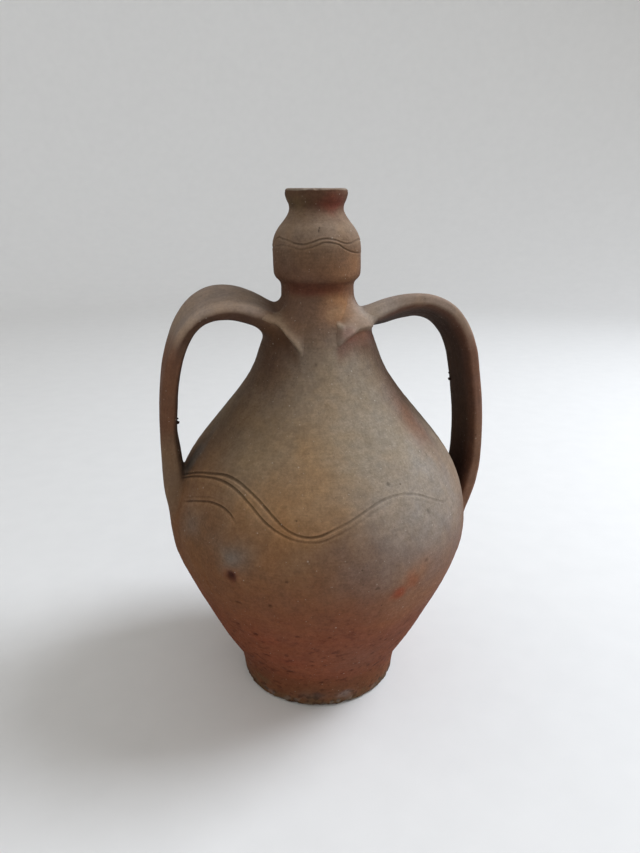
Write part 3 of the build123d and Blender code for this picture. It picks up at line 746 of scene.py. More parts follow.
def rim_wear(a):
    """How far the rim is worn or chipped down at an angle, mm."""
    q = point(a, np.full_like(a, 17.0), np.full_like(a, 320.0))
    worn = 0.16 + 0.14 * noise(q, 7.0, 95) + 0.07 * noise(q, 2.0, 96)
    chip = 1.0 * np.exp(-((apart(a, 0.3) / 5.0) ** 4)) + 0.55 * np.exp(-((apart(a, -21.0) / 4.0) ** 2))
    chip = chip + 0.7 * np.exp(-((apart(a, 128.0) / 6.0) ** 2)) + 0.6 * np.exp(-((apart(a, -140.0) / 5.0) ** 2))
    return np.clip(worn, 0.02, 1.0), chip


def make_lip():
    g = Loop(512)
    g.wall(spaced(SEAM_LIP, 318.2, 0.36))
    worn, chip = rim_wear(g.angle)
    # the top rounds over, thin and a little uneven
    base = len(g.rows)
    over = [(18.05, 318.6, 0.15), (17.85, 319.1, 0.45), (17.45, 319.55, 0.8), (16.9, 319.85, 1.0), (16.2, 319.98, 1.0),
            (15.4, 320.0, 0.9), (14.6, 319.98, 0.6), (13.9, 319.8, 0.4), (13.2, 319.45, 0.3), (12.6, 318.95, 0.2), (12.15, 318.2, 0.0)]
    for r, z, w in over:
        g.plain([(r, z)], kind=0)
        k = len(g.rows) - 1
        rr = g.rows[k][0] + drift(320.0) * np.sin(np.radians(g.angle)) * smooth(12.0, 16.0, r)
        g.edit(k, r=rr - chip * 0.5 * w * smooth(14.0, 17.0, r), z=g.rows[k][1] - worn * w - chip * w)
    g.plain([(12.0, z) for z in (317.0, 314.0, 310.0, 306.5)])
    foot = SEAM_LIP - LAP_LIP[1]
    g.plain([(12.0, foot), (LAP_LIP[0], foot), (LAP_LIP[0], SEAM_LIP)])
    return g.mesh("lip")


# ---------------------------------------------------------------------- straps
class Strap:
    """A pulled strap handle: stations of distance, height, width, thickness, twist."""

    def __init__(self, side, stations, seed, inner_power, outer_power):
        self.side, self.seed = side, seed
        self.inner_power, self.outer_power = inner_power, outer_power
        s = np.array(stations)
        xz = np.stack([side * s[:, 0], s[:, 1]], -1)
        along = np.concatenate([[0.0], np.cumsum(np.hypot(*np.diff(xz, axis=0).T))])
        t = np.linspace(0.0, along[-1], 700)
        x, dx = hermite(along, xz[:, 0], t)
        z, dz = hermite(along, xz[:, 1], t)
        self.length = np.concatenate([[0.0], np.cumsum(np.hypot(np.diff(x), np.diff(z)))])
        self.centre = np.stack([x, z], -1)
        n = np.hypot(dx, dz)
        self.tangent = np.stack([dx / n, dz / n], -1)
        # outwards in the XZ plane, away from the handle's gap
        o = np.stack([-self.tangent[:, 1], self.tangent[:, 0]], -1)
        flip = np.sum((self.centre - np.array([side * 60.0, 200.0])) * o, -1) < 0
        o[flip] *= -1
        self.out = o
        self.half_w = hermite(along, s[:, 2] / 2.0, t)[0]
        self.half_t = hermite(along, s[:, 3] / 2.0, t)[0]
        self.twist = np.radians(hermite(along, s[:, 4], t)[0])
        self.total = self.length[-1]

    def at(self, s):
        """Centre, tangent, out, across and sizes at lengths s."""
        f = lambda v: np.interp(s, self.length, v)
        c = np.stack([f(self.centre[:, 0]), np.zeros_like(s), f(self.centre[:, 1])], -1)
        o = np.stack([f(self.out[:, 0]), np.zeros_like(s), f(self.out[:, 1])], -1)
        o /= np.linalg.norm(o, axis=-1, keepdims=True)
        t = np.stack([f(self.tangent[:, 0]), np.zeros_like(s), f(self.tangent[:, 1])], -1)
        t /= np.linalg.norm(t, axis=-1, keepdims=True)
        y = np.zeros_like(o)
        y[:, 1] = 1.0
        tw = f(self.twist)[:, None]
        across = y * np.cos(tw) + o * np.sin(tw)
        out = o * np.cos(tw) - y * np.sin(tw)
        return c, t, across, out, f(self.half_w), f(self.half_t)

    def swell(self, u, s):
        """How far the outer face stands over the plain section at u across (-1 to 1)."""
        hollow = -0.75 * np.exp(-((u / 0.52) ** 2))
        ridge = 0.55 * np.exp(-(((u + 0.78) / 0.20) ** 2)) + 0.45 * np.exp(-(((u - 0.78) / 0.20) ** 2))
        fade = smooth(4.0, 22.0, s) * smooth(self.total - 6.0, self.total - 45.0, s)
        out = (hollow + ridge) * fade
        if self.side < 0:
            # the front edge thickens into the ridge that runs on over the neck
            out = out + 1.5 * np.exp(-(((u + 0.80) / 0.24) ** 2)) * smooth(44.0, 12.0, s)
        return out

    def drag(self, p, u, v, s):
        """Finger drag marks along the strap and slow unevenness."""
        q = np.stack([s / 24.0, u * 6.5, v * 2.2 + self.seed], -1)
        fine = np.stack([s / 9.0, u * 15.0, v * 5.0 + self.seed], -1)
        return (
            0.13 * noise(q, 1.0, 101 + self.seed) + 0.05 * noise(fine, 1.0, 102) + 0.20 * noise(p, 17.0, 103 + self.seed)
            + 0.05 * noise(p, 4.5, 104) + 0.025 * noise(p, 1.9, 105)
        )

    def narrow(self, v, s):
        """Share of the half width that is left below the outer face of the left arch."""
        if self.side > 0:
            return np.ones_like(v)
        return 1.0 - 0.13 * smooth(0.55, -0.45, v) * smooth(105.0, 60.0, s)

    def power(self, v):
        """Squareness of the section: crisper corners on the inner face."""
        return np.where(v < 0, self.inner_power, self.outer_power)

    def tube(self, s, cols):
        """Surface points for each length s (rows) and equal steps round the section."""
        fine = np.linspace(0.0, 2.0 * math.pi, 721)[:-1]
        e = 2.0 / self.power(np.sin(fine))
        cx = np.sign(np.cos(fine)) * np.abs(np.cos(fine)) ** e
        cy = np.sign(np.sin(fine)) * np.abs(np.sin(fine)) ** e
        c, t, across, out, hw, ht = self.at(s)
        mid = len(s) // 2
        x, y = cx * hw[mid], cy * ht[mid]
        d = np.hypot(np.diff(np.append(x, x[0])), np.diff(np.append(y, y[0])))
        run = np.concatenate([[0.0], np.cumsum(d)])
        pick = np.interp(np.arange(cols) * run[-1] / cols, run, np.arange(721))
        u = np.interp(pick, np.arange(721), np.append(cx, cx[0]))
        v = np.interp(pick, np.arange(721), np.append(cy, cy[0]))
        U, V = np.broadcast_to(u, (len(s), cols)), np.broadcast_to(v, (len(s), cols))
        S = np.broadcast_to(s[:, None], U.shape)
        raise_ = self.swell(U, S) * smooth(0.1, 0.75, V)
        base = c[:, None] + across[:, None] * (U * self.narrow(V, S) * hw[:, None])[..., None] + out[:, None] * (V * ht[:, None] + raise_)[..., None]
        # normal of the section
        k = self.power(V) - 1.0
        nu = np.sign(U) * np.abs(U) ** k / hw[:, None]
        nv = np.sign(V) * np.abs(V) ** k / ht[:, None]
        nn = np.hypot(nu, nv)
        normal = across[:, None] * (nu / nn)[..., None] + out[:, None] * (nv / nn)[..., None]
        flat = base.reshape(-1, 3)
        d = self.drag(flat, U.ravel(), V.ravel(), S.ravel()) - 0.12
        pts = flat + normal.reshape(-1, 3) * d[:, None]
        return pts.reshape(len(s), cols, 3), U, V, S

    def local(self, p):
        """Length, across and out coordinates (in half widths) of points in space."""
        xz = p[:, [0, 2]]
        pick = np.linspace(0, len(self.length) - 1, 90).astype(int)
        best = np.empty(len(p), np.int64)
        for i in range(0, len(p), 40000):
            q = xz[i:i + 40000]
            d = ((q[:, None] - self.centre[pick][None]) ** 2).sum(-1)
            best[i:i + 40000] = pick[d.argmin(1)]
        s = self.length[best]
        for _ in range(3):
            c, t, across, out, hw, ht = self.at(s)
            s = np.clip(s + 0.9 * np.sum((p - c) * t, -1), 0.0, self.total)
        c, t, across, out, hw, ht = self.at(s)
        u = np.sum((p - c) * across, -1)
        v = np.sum((p - c) * out, -1)
        beyond = np.sum((p - c) * t, -1)
        return s, u, v, hw, ht, beyond

    def distance(self, p, relief_too=True):
        """Distance of points to the strap's surface, negative inside."""
        s, u, v, hw, ht, beyond = self.local(p)
        V0 = v / ht
        hw = hw * self.narrow(V0, s)
        U = u / hw
        v = v - self.swell(np.clip(U, -1.0, 1.0), s) * smooth(0.1, 0.75, V0)
        V = v / ht
        n = self.power(V)
        f = (np.abs(U) ** n + np.abs(V) ** n + 1e-9) ** (1.0 / n)
        gu = np.abs(U / f) ** (n - 1.0) / hw
        gv = np.abs(V / f) ** (n - 1.0) / ht
        d = (f - 1.0) / np.sqrt(gu * gu + gv * gv + 1e-9)
        d = np.where(np.abs(beyond) > 0.5, np.hypot(np.maximum(d, 0.0), beyond) + np.minimum(d, 0.0) * 0.0, d)
        if relief_too:
            d = d - (self.drag(p, np.clip(U, -1, 1), np.clip(V, -1, 1), s) - 0.12)
        return d, U, V, s


def strap_colour(strap, p, U, V, S):
    """Colour of a handle: grey tan over the arch, red brown down its length,
    painted shade on the inner face and below the left arch's front ridge, and a
    painted highlight along the bead of the front edge."""
    c = clay(p)
    h = p[:, 2]
    mist = cloudy(p, 20.0, 111 + strap.seed, 3)
    fine = cloudy(p, 6.0, 117 + strap.seed, 2)
    down = tone(102, 70, 52) if strap.side < 0 else tone(110, 78, 63)
    own = down + (tone(132, 112, 96) - down) * smooth(222.0, 246.0, h + 9 * mist)[:, None]
    low = smooth(186.0, 168.0, h + 8 * mist)
    own = own + (tone(118, 96, 74) - own) * (0.7 * low if strap.side < 0 else 0.2 * low)[:, None]
    if strap.side < 0:
        crown = smooth(0.2, 0.8, V) * smooth(236.0, 250.0, h)
        own = own + (tone(146, 130, 116) - own) * (0.6 * crown)[:, None]
    # painted highlight along the bead of the front edge
    edge = np.exp(-(((U + 0.78) / 0.22) ** 2)) * smooth(-0.1, 0.4, V)
    own = own * (1.0 + 0.30 * edge * smooth(215.0, 240.0, h))[:, None]
    far = np.exp(-(((U - 0.95) / 0.25) ** 2)) * smooth(0.0, 0.5, V)
    own = own + (BLUE_GREY - own) * (0.45 * far)[:, None]
    # painted shade on the face that looks into the handle's gap
    under = smooth(-0.45, -0.92, V + 0.08 * fine)
    gap_shade = tone(46, 28, 20) if strap.side > 0 else tone(62, 42, 31)
    if strap.side > 0:
        gap_shade = tone(86, 56, 43) + (gap_shade - tone(86, 56, 43)) * smooth(-0.95, -0.15, U + 0.10 * mist)[:, None]
    if strap.side > 0:
        # pale where it was pressed on to the neck
        near = smooth(40.0, 12.0, S)
        own = own + (tone(148, 135, 122) - own) * (0.75 * near)[:, None]
    own = own + (gap_shade - own) * (0.90 * under)[:, None]
    if strap.side < 0:
        # painted shade: the arch's front edge is dark below its ridge
        front = smooth(0.52, 0.10, V + 0.08 * fine) * smooth(0.2, -0.5, U) * smooth(222.0, 238.0, h)
        own = own + (tone(70, 46, 35) - own) * (0.86 * front)[:, None]
    own = own * (1.0 + 0.08 * mist + 0.07 * fine)[:, None]
    first = smooth(0.0, 20.0, S - 6.0) if strap.side < 0 else 1.0
    w = first * smooth(strap.total - 2.0, strap.total - 36.0, S)
    return c + (own - c) * (0.92 * w)[:, None]


def make_strap(name, strap, crumbs):
    cols, step = 120, 1.0
    s = np.arange(0.0, strap.total + step / 2, step)
    s = np.clip(s, 0.0, strap.total)
    pts, U, V, S = strap.tube(s, cols)
    # run each line of the tube from where it leaves the middle of the wall to
    # where it comes back to it
    r = np.hypot(pts[..., 0], pts[..., 1])
    gap = r - (outer(pts[..., 2].ravel()).reshape(r.shape) - 2.4)
    out_pts = np.empty_like(pts)
    grid = np.empty(pts.shape[:2])
    n = len(s)
    reach = strap.side * pts[..., 0]
    limit = 98.4 if strap.side < 0 else 107.2
    over = np.maximum(reach - limit, 0.0)
    pts[..., 0] = strap.side * (reach - over + 0.9 * (1.0 - np.exp(-over / 0.9)))
    for j in range(cols):
        g = gap[:, j]
        clear = int(n * 0.4)
        first = 0
        for i in range(clear, 0, -1):
            if g[i - 1] < 0:
                first = i - 1 + (-g[i - 1]) / (g[i] - g[i - 1])
                break
        last = n - 1.0
        for i in range(clear, n - 1):
            if g[i + 1] < 0:
                last = i + g[i] / (g[i] - g[i + 1])
                break
        where = np.linspace(first, last, n)
        grid[:, j] = where
        for k in range(3):
            out_pts[:, j, k] = np.interp(where, np.arange(n), pts[:, j, k])
    SS = np.stack([np.interp(grid[:, j], np.arange(n), s) for j in range(cols)], 1)
    verts = [out_pts.reshape(-1, 3)]
    us, vs, ss = [U.ravel()], [V.ravel()], [SS.ravel()]
    i = np.arange(n - 1)[:, None] * cols
    j = np.arange(cols)[None]
    nxt = (j + 1) % cols
    quads = np.stack([i + j, i + nxt, i + cols + nxt, i + cols + j], -1).reshape(-1, 4).tolist()
    count = n * cols
    # both ends close inside the wall, along its middle
    for end in (0, 1):
        ring = out_pts[0 if end == 0 else -1]
        base = 0 if end == 0 else (n - 1) * cols
        middle = ring.mean(0)
        previous = base + np.arange(cols)
        for k in range(1, 9):
            w = 1.0 - k / 9.0
            q = middle + (ring - middle) * w
            rr = np.hypot(q[:, 0], q[:, 1])
            mid = outer(q[:, 2]) - 2.4
            q[:, 0] *= mid / rr
            q[:, 1] *= mid / rr
            here = count + np.arange(cols)
            verts.append(q)
            us.append(np.zeros(cols)); vs.append(np.zeros(cols)); ss.append(np.full(cols, 0.0 if end == 0 else strap.total))
            a, b = (here, previous) if end == 0 else (previous, here)
            quads += np.stack([a, np.roll(a, -1), np.roll(b, -1), b], -1).tolist()
            previous = here
            count += cols
        q = middle.copy()
        mid = outer(np.array([q[2]]))[0] - 2.4
        rr = math.hypot(q[0], q[1])
        q[0] *= mid / rr
        q[1] *= mid / rr
        verts.append(q[None])
        us.append(np.zeros(1)); vs.append(np.zeros(1)); ss.append(np.full(1, 0.0))
        tri = np.stack([previous, np.roll(previous, -1), np.full(cols, count)], -1)
        if end == 0:
            tri = tri[:, [1, 0, 2]]
        quads += tri.tolist()
        count += 1
    p = np.concatenate(verts)
    u, v, sl = np.concatenate(us), np.concatenate(vs), np.concatenate(ss)
    # the faces look outwards: check the tube's volume and turn them if not
    f = np.array([q[:3] for q in quads])
    vol = np.einsum("ij,ij->i", p[f[:, 0]], np.cross(p[f[:, 1]], p[f[:, 2]])).sum()
    if vol < 0:
        quads = [q[::-1] for q in quads]
    colour = strap_colour(strap, p, u, v, sl)
    grain = np.stack([sl / 20.0, u * strap.half_w.mean() / 1.1, v * strap.half_t.mean() / 1.1 + 40.0], -1)
    # crumbs of clay that stuck to the inner edge and fired dark
    for cs, cu, cv, size in crumbs:
        c, t, across, out, hw, ht = strap.at(np.array([cs]))
        n = float(strap.power(np.array(cv)))
        k = (abs(cu) ** n + abs(cv) ** n) ** (-1.0 / n)
        at = c[0] + across[0] * cu * k * hw[0] + out[0] * cv * k * ht[0]
        cp, cf = blob(at, size, 121 + int(cs))
        quads += (cf + count).tolist()
        p = np.concatenate([p, cp])
        count += len(cp)
        dark = np.repeat((SOOT * 0.8)[None], len(cp), 0)
        colour = np.concatenate([colour, dark])
        grain = np.concatenate([grain, cp / 3.0])
    return write_mesh(name, p, quads, colour, grain)


def blob(at, size, seed):
    """A small rough closed lump."""
    rows, cols = 9, 14
    pts, faces = [[0, 0, 1.0]], []
    for i in range(1, rows):
        th = math.pi * i / rows
        for j in range(cols):
            ph = 2.0 * math.pi * j / cols
            pts.append([math.sin(th) * math.cos(ph), math.sin(th) * math.sin(ph), math.cos(th)])
    pts.append([0, 0, -1.0])
    p = np.array(pts)
    p = p * (1.0 + 0.35 * noise(p * 3.0 + seed, 1.6, seed))[:, None] * size * np.array([1.0, 1.15, 0.8]) + at
    last = len(pts) - 1
    for j in range(cols):
        k = (j + 1) % cols
        faces.append([0, 1 + j, 1 + k])
        faces.append([last, 1 + (rows - 2) * cols + k, 1 + (rows - 2) * cols + j])
        for i in range(rows - 2):
            a, b = 1 + i * cols, 1 + (i + 1) * cols
            faces.append([a + j, b + j, b + k])
            faces.append([a + j, b + k, a + k])
    return p, np.array(faces)


# ------------------------------------------------------------------- root clay
def fold(a, b, k):
    """Smooth union of two distances, rounding by k."""
    h = np.maximum(k - np.abs(a - b), 0.0) / k
    return np.minimum(a, b) - h * h * h * k / 6.0


def left_wing(angle, z):
    """Clay drawn out from the left strap's edges: a rounded ridge that runs down
    to a point, thin behind and steep under it."""
    off = np.abs(apart(angle, LEFT_HANDLE))
    front = apart(angle, LEFT_HANDLE) > 0
    off = np.where(front, off, off * 1.05 + 1.0)
    crest, slope = hermite(
        [12, 20, 28.9, 35, 40.9, 45, 49.2, 53, 56.6, 60.8, 62.7, 66], [251.6, 250.8, 248.5, 246.4, 244.0, 241.9, 239.7, 237.7, 235.8, 233.0, 231.6, 228.6], off)
    tall = hermite([20, 29, 36, 41, 45, 49, 56.6, 60.0, 62.6, 64.4], [4.4, 5.6, 6.0, 5.5, 4.9, 4.2, 2.9, 1.9, 0.9, 0.0], off)[0]
    lean = np.sqrt(1.0 + (slope / 0.57) ** 2)
    d = (z - crest) / lean
    under = np.exp(-((np.maximum(-d, 0.0) / 1.7) ** 2.2))
    bead = 0.64 * np.exp(-((np.maximum(d, 0.0) / 3.5) ** 2.4)) + 0.36 * np.exp(-((np.maximum(d, 0.0) / 7.0) ** 1.6))
    ridge = np.maximum(tall, 0.0) * np.where(d < 0, under, bead) * smooth(65.0, 63.5, off) * smooth(18.0, 30.0, off)
    # clay pushed into the corner under the strap
    fill = 4.2 * np.exp(-(((z - 242.0) / 4.8) ** 2)) * smooth(46.0, 26.0, off)
    return np.maximum(ridge, fill)


def right_wing(angle, z):
    """The right strap's root: a tongue pressed flat by a thumb, blunt at its end,
    with a small nub on its upper corner."""
    off = np.abs(apart(angle, RIGHT_HANDLE))
    front = apart(angle, RIGHT_HANDLE) < 0
    off = np.where(front, off, off * 1.06 + 1.5)
    low = hermite([20, 33, 41, 48.5, 59.1, 69.2, 76.7, 83.4, 90], [239.0, 239.8, 240.8, 241.2, 240.2, 238.0, 235.9, 233.9, 233.6], off)[0]
    top = hermite([30, 42, 51, 63, 72, 77.4, 82, 84], [252.0, 252.0, 251.4, 249.4, 247.0, 245.0, 240.4, 236.0], off)[0]
    reach = hermite([232.0, 237.0, 240.8, 243.6, 246.0, 250.0, 256.0], [85.0, 84.4, 83.2, 81.4, 79.0, 71.0, 58.0], z)[0]
    tall = hermite([24, 33, 42, 50, 60, 70, 76, 81, 84], [2.0, 3.6, 4.8, 5.0, 4.4, 3.5, 2.8, 2.1, 1.5], off)[0]
    rise = smooth(-1.6, 3.2, z - low)
    fall = np.exp(-((np.maximum(z - top + 3.5, 0.0) / 6.0) ** 1.8))
    soft = 6.0 + 10.0 * smooth(244.0, 251.0, z)
    edge = smooth(0.0, 1.0, (reach - off) / soft)
    nub = 1.0 * np.exp(-(((off - 77.0) * 0.58 / 1.7) ** 2) - (((z - 245.4) / 1.6) ** 2))
    dent = -0.9 * np.exp(-(((off - 62.0) * 0.58 / 5.0) ** 2) - (((z - 246.5) / 4.5) ** 2))
    return np.maximum(np.maximum(tall + dent, 0.0) * rise * fall * edge + nub, 0.0) * smooth(20.0, 34.0, off)


def left_heel(angle, z):
    """The left strap's lower end, smoothed out on the belly."""
    off = apart(angle, LEFT_HANDLE)
    return 1.3 * np.exp(-(((z - 101.0) / 11.0) ** 2) - (off / 26.0) ** 2)


def no_wing(angle, z):
    return np.zeros_like(z)


class Root:
    """Clay that joins a strap to the wall."""

    def __init__(self, strap, wing, soft_out, soft_in, low_soft=None, inset=0.07, depth=2.0):
        self.strap, self.wing = strap, wing
        self.soft_out, self.soft_in, self.low_soft = soft_out, soft_in, low_soft
        self.inset, self.depth = inset, depth

    def parts(self, p):
        r = np.hypot(p[:, 0], p[:, 1])
        a = angle_of(p)
        z = np.clip(p[:, 2], 0.0, HEIGHT)
        base, slope = turned(OUTER, z)
        lean = np.sqrt(1.0 + slope * slope)
        bump = relief(a, z)
        wing = self.wing(a, z)
        wall = (r - base - bump) / lean
        raised = (r - base - bump - wing) / np.sqrt(1.0 + slope * slope)
        d, U, V, s = self.strap.distance(p)
        k = self.soft_in + (self.soft_out - self.soft_in) * smooth(-0.9, 0.5, V)
        if self.low_soft:
            z0, z1, kk = self.low_soft
            k = k + (kk - k) * smooth(z0, z1, p[:, 2])
        return wall, raised, d, k, wing

    def field(self, p):
        wall, raised, d, k, wing = self.parts(p)
        f = fold(d, raised, k) + self.inset
        shell = -(wall + self.depth)
        near = np.minimum(d - (k + 1.6), (0.12 - wing) * 12.0)
        away = raised - (k + 1.6)
        return np.maximum(np.maximum(f, shell), np.maximum(near, away))


def surface_nets(field, low, high, h):
    """Closed quad mesh of field = 0 inside a box."""
    low, high = np.array(low, float), np.array(high, float)
    n = np.ceil((high - low) / (2 * h)).astype(int) * 2 + 1
    axes = [low[k] + h * np.arange(n[k]) for k in range(3)]
    coarse = np.stack(np.meshgrid(*[ax[::2] for ax in axes], indexing="ij"), -1)
    cv = field(coarse.reshape(-1, 3)).reshape(coarse.shape[:3])
    full = np.repeat(np.repeat(np.repeat(cv, 2, 0), 2, 1), 2, 2)[: n[0], : n[1], : n[2]].copy()
    near = np.abs(cv) < 4.2 * h
    grown = near.copy()
    for ax in range(3):
        for d in (-1, 1):
            grown |= np.roll(near, d, ax)
    near = grown
    want = np.repeat(np.repeat(np.repeat(near, 2, 0), 2, 1), 2, 2)[: n[0], : n[1], : n[2]]
    idx = np.argwhere(want)
    pts = low + idx * h
    full[want] = field(pts)
    # nothing may touch the box's sides
    full[0], full[-1] = np.maximum(full[0], 0.1), np.maximum(full[-1], 0.1)
    full[:, 0], full[:, -1] = np.maximum(full[:, 0], 0.1), np.maximum(full[:, -1], 0.1)
    full[:, :, 0], full[:, :, -1] = np.maximum(full[:, :, 0], 0.1), np.maximum(full[:, :, -1], 0.1)
    inside_ = full < 0
    cells = tuple(k - 1 for k in full.shape)
    total = np.zeros(cells + (3,))
    count = np.zeros(cells)
    edges = []
    for ax in range(3):
        a = [slice(None)] * 3
        b = [slice(None)] * 3
        a[ax], b[ax] = slice(0, -1), slice(1, None)
        fa, fb = full[tuple(a)], full[tuple(b)]
        cross = inside_[tuple(a)] != inside_[tuple(b)]
        e = np.argwhere(cross)
        va, vb = fa[cross], fb[cross]
        t = va / (va - vb)
        pos = e.astype(float)
        pos[:, ax] += t
        others = [k for k in range(3) if k != ax]
        for d0 in (0, -1):
            for d1 in (0, -1):
                c = e.copy()
                c[:, others[0]] += d0
                c[:, others[1]] += d1
                ok = np.all((c >= 0) & (c < np.array(cells)), axis=1)
                ci = c[ok]
                flat = np.ravel_multi_index(ci.T, cells)
                for k in range(3):
                    total[..., k] += np.bincount(flat, pos[ok, k], minlength=count.size).reshape(cells)
                count += np.bincount(flat, minlength=count.size).reshape(cells)
        edges.append((ax, others, e, inside_[tuple(a)][cross]))
    used = count > 0
    number = -np.ones(cells, np.int64)
    number[used] = np.arange(used.sum())
    verts = low + total[used] / count[used][:, None] * h
    quads = []
    for ax, (o0, o1), e, first in edges:
        c = []
        for d0, d1 in ((-1, -1), (0, -1), (0, 0), (-1, 0)):
            q = e.copy()
            q[:, o0] += d0
            q[:, o1] += d1
            c.append(number[tuple(np.clip(q, 0, np.array(cells) - 1).T)])
        q = np.stack(c, -1)
        turn = first if ax != 1 else ~first
        q = np.where(turn[:, None], q, q[:, ::-1])
        quads.append(q)
    return verts, np.concatenate(quads)


def settle(field, p, rounds=3):
    """Moves points onto field = 0."""
    for _ in range(rounds):
        f = field(p)
        g = np.empty_like(p)
        for k in range(3):
            d = np.zeros(3)
            d[k] = 0.12
            g[:, k] = (field(p + d) - field(p - d)) / 0.24
        gg = np.sum(g * g, -1) + 1e-6
        step = g * (f / gg)[:, None]
        size = np.linalg.norm(step, axis=-1)
        step *= np.minimum(1.0, 0.35 / np.maximum(size, 1e-9))[:, None]
        p = p - step
    return p


def tidy(verts, quads):
    """Only the largest connected part, with its points renumbered."""
    n = len(verts)
    label = np.arange(n)
    a, b = quads.ravel(), np.roll(quads, -1, 1).ravel()
    while True:
        low = np.minimum(label[a], label[b])
        new = label.copy()
        np.minimum.at(new, a, low)
        np.minimum.at(new, b, low)
        new = new[new]
        if (new == label).all():
            break
        label = new
    ids, counts = np.unique(label, return_counts=True)
    keep = label == ids[counts.argmax()]
    renumber = np.cumsum(keep) - 1
    q = quads[keep[quads[:, 0]]]
    return verts[keep], renumber[q]


def make_root(name, root, low, high, h):
    verts, quads = surface_nets(root.field, low, high, h)
    verts, quads = tidy(verts, quads)
    verts = settle(root.field, verts)
    f = quads[:, :3]
    vol = np.einsum("ij,ij->i", verts[f[:, 0]], np.cross(verts[f[:, 1]], verts[f[:, 2]])).sum()
    if vol < 0:
        quads = quads[:, ::-1]
    wall, raised, d, k, wing = root.parts(verts)
    _, U, V, s = root.strap.distance(verts, False)
    c = clay(verts)
    st = strap_colour(root.strap, verts, np.clip(U, -1, 1), np.clip(V, -1, 1), s)
    w = smooth(3.0, -1.0, d)
    c = c + (st - c) * w[:, None]
    # the corner under the strap keeps the painted shade from clay(); a painted highlight runs along the left ridge's
    # crest, and the right tongue and hump are paler grey with a painted highlight on the nub
    a, z = angle_of(verts), verts[:, 2]
    if root.wing is left_wing:
        off = np.abs(apart(a, LEFT_HANDLE))
        crest = hermite([12, 28.9, 40.9, 49.2, 56.6, 62.7, 66], [251.6, 248.5, 244.0, 239.7, 235.8, 231.6, 228.6], off)[0]
        live = smooth(16.0, 30.0, off) * smooth(65.0, 60.0, off)
        # painted highlight along the ridge's crest
        pale = np.exp(-(((z - crest - 0.9) / 2.5) ** 2)) * live
        c = c + (tone(160, 140, 118) - c) * (0.42 * pale)[:, None]
    if root.wing is right_wing:
        off = np.abs(apart(a, RIGHT_HANDLE))
        nub = np.exp(-(((off - 77.0) * 0.58 / 1.8) ** 2) - (((z - 245.4) / 1.8) ** 2))
        c = c + (tone(146, 133, 121) - c) * (0.50 * np.clip(wing / 4.0, 0.0, 1.0))[:, None]
        hump = smooth(74.0, 34.0, off) * smooth(244.0, 249.0, z) * smooth(262.0, 252.0, z)
        c = c + (tone(150, 137, 125) - c) * (0.45 * hump)[:, None]
        # painted highlight on the nub
        c = c + (tone(172, 160, 142) - c) * (0.45 * nub)[:, None]
    return write_mesh(name, verts, quads, c, body_grain(verts))


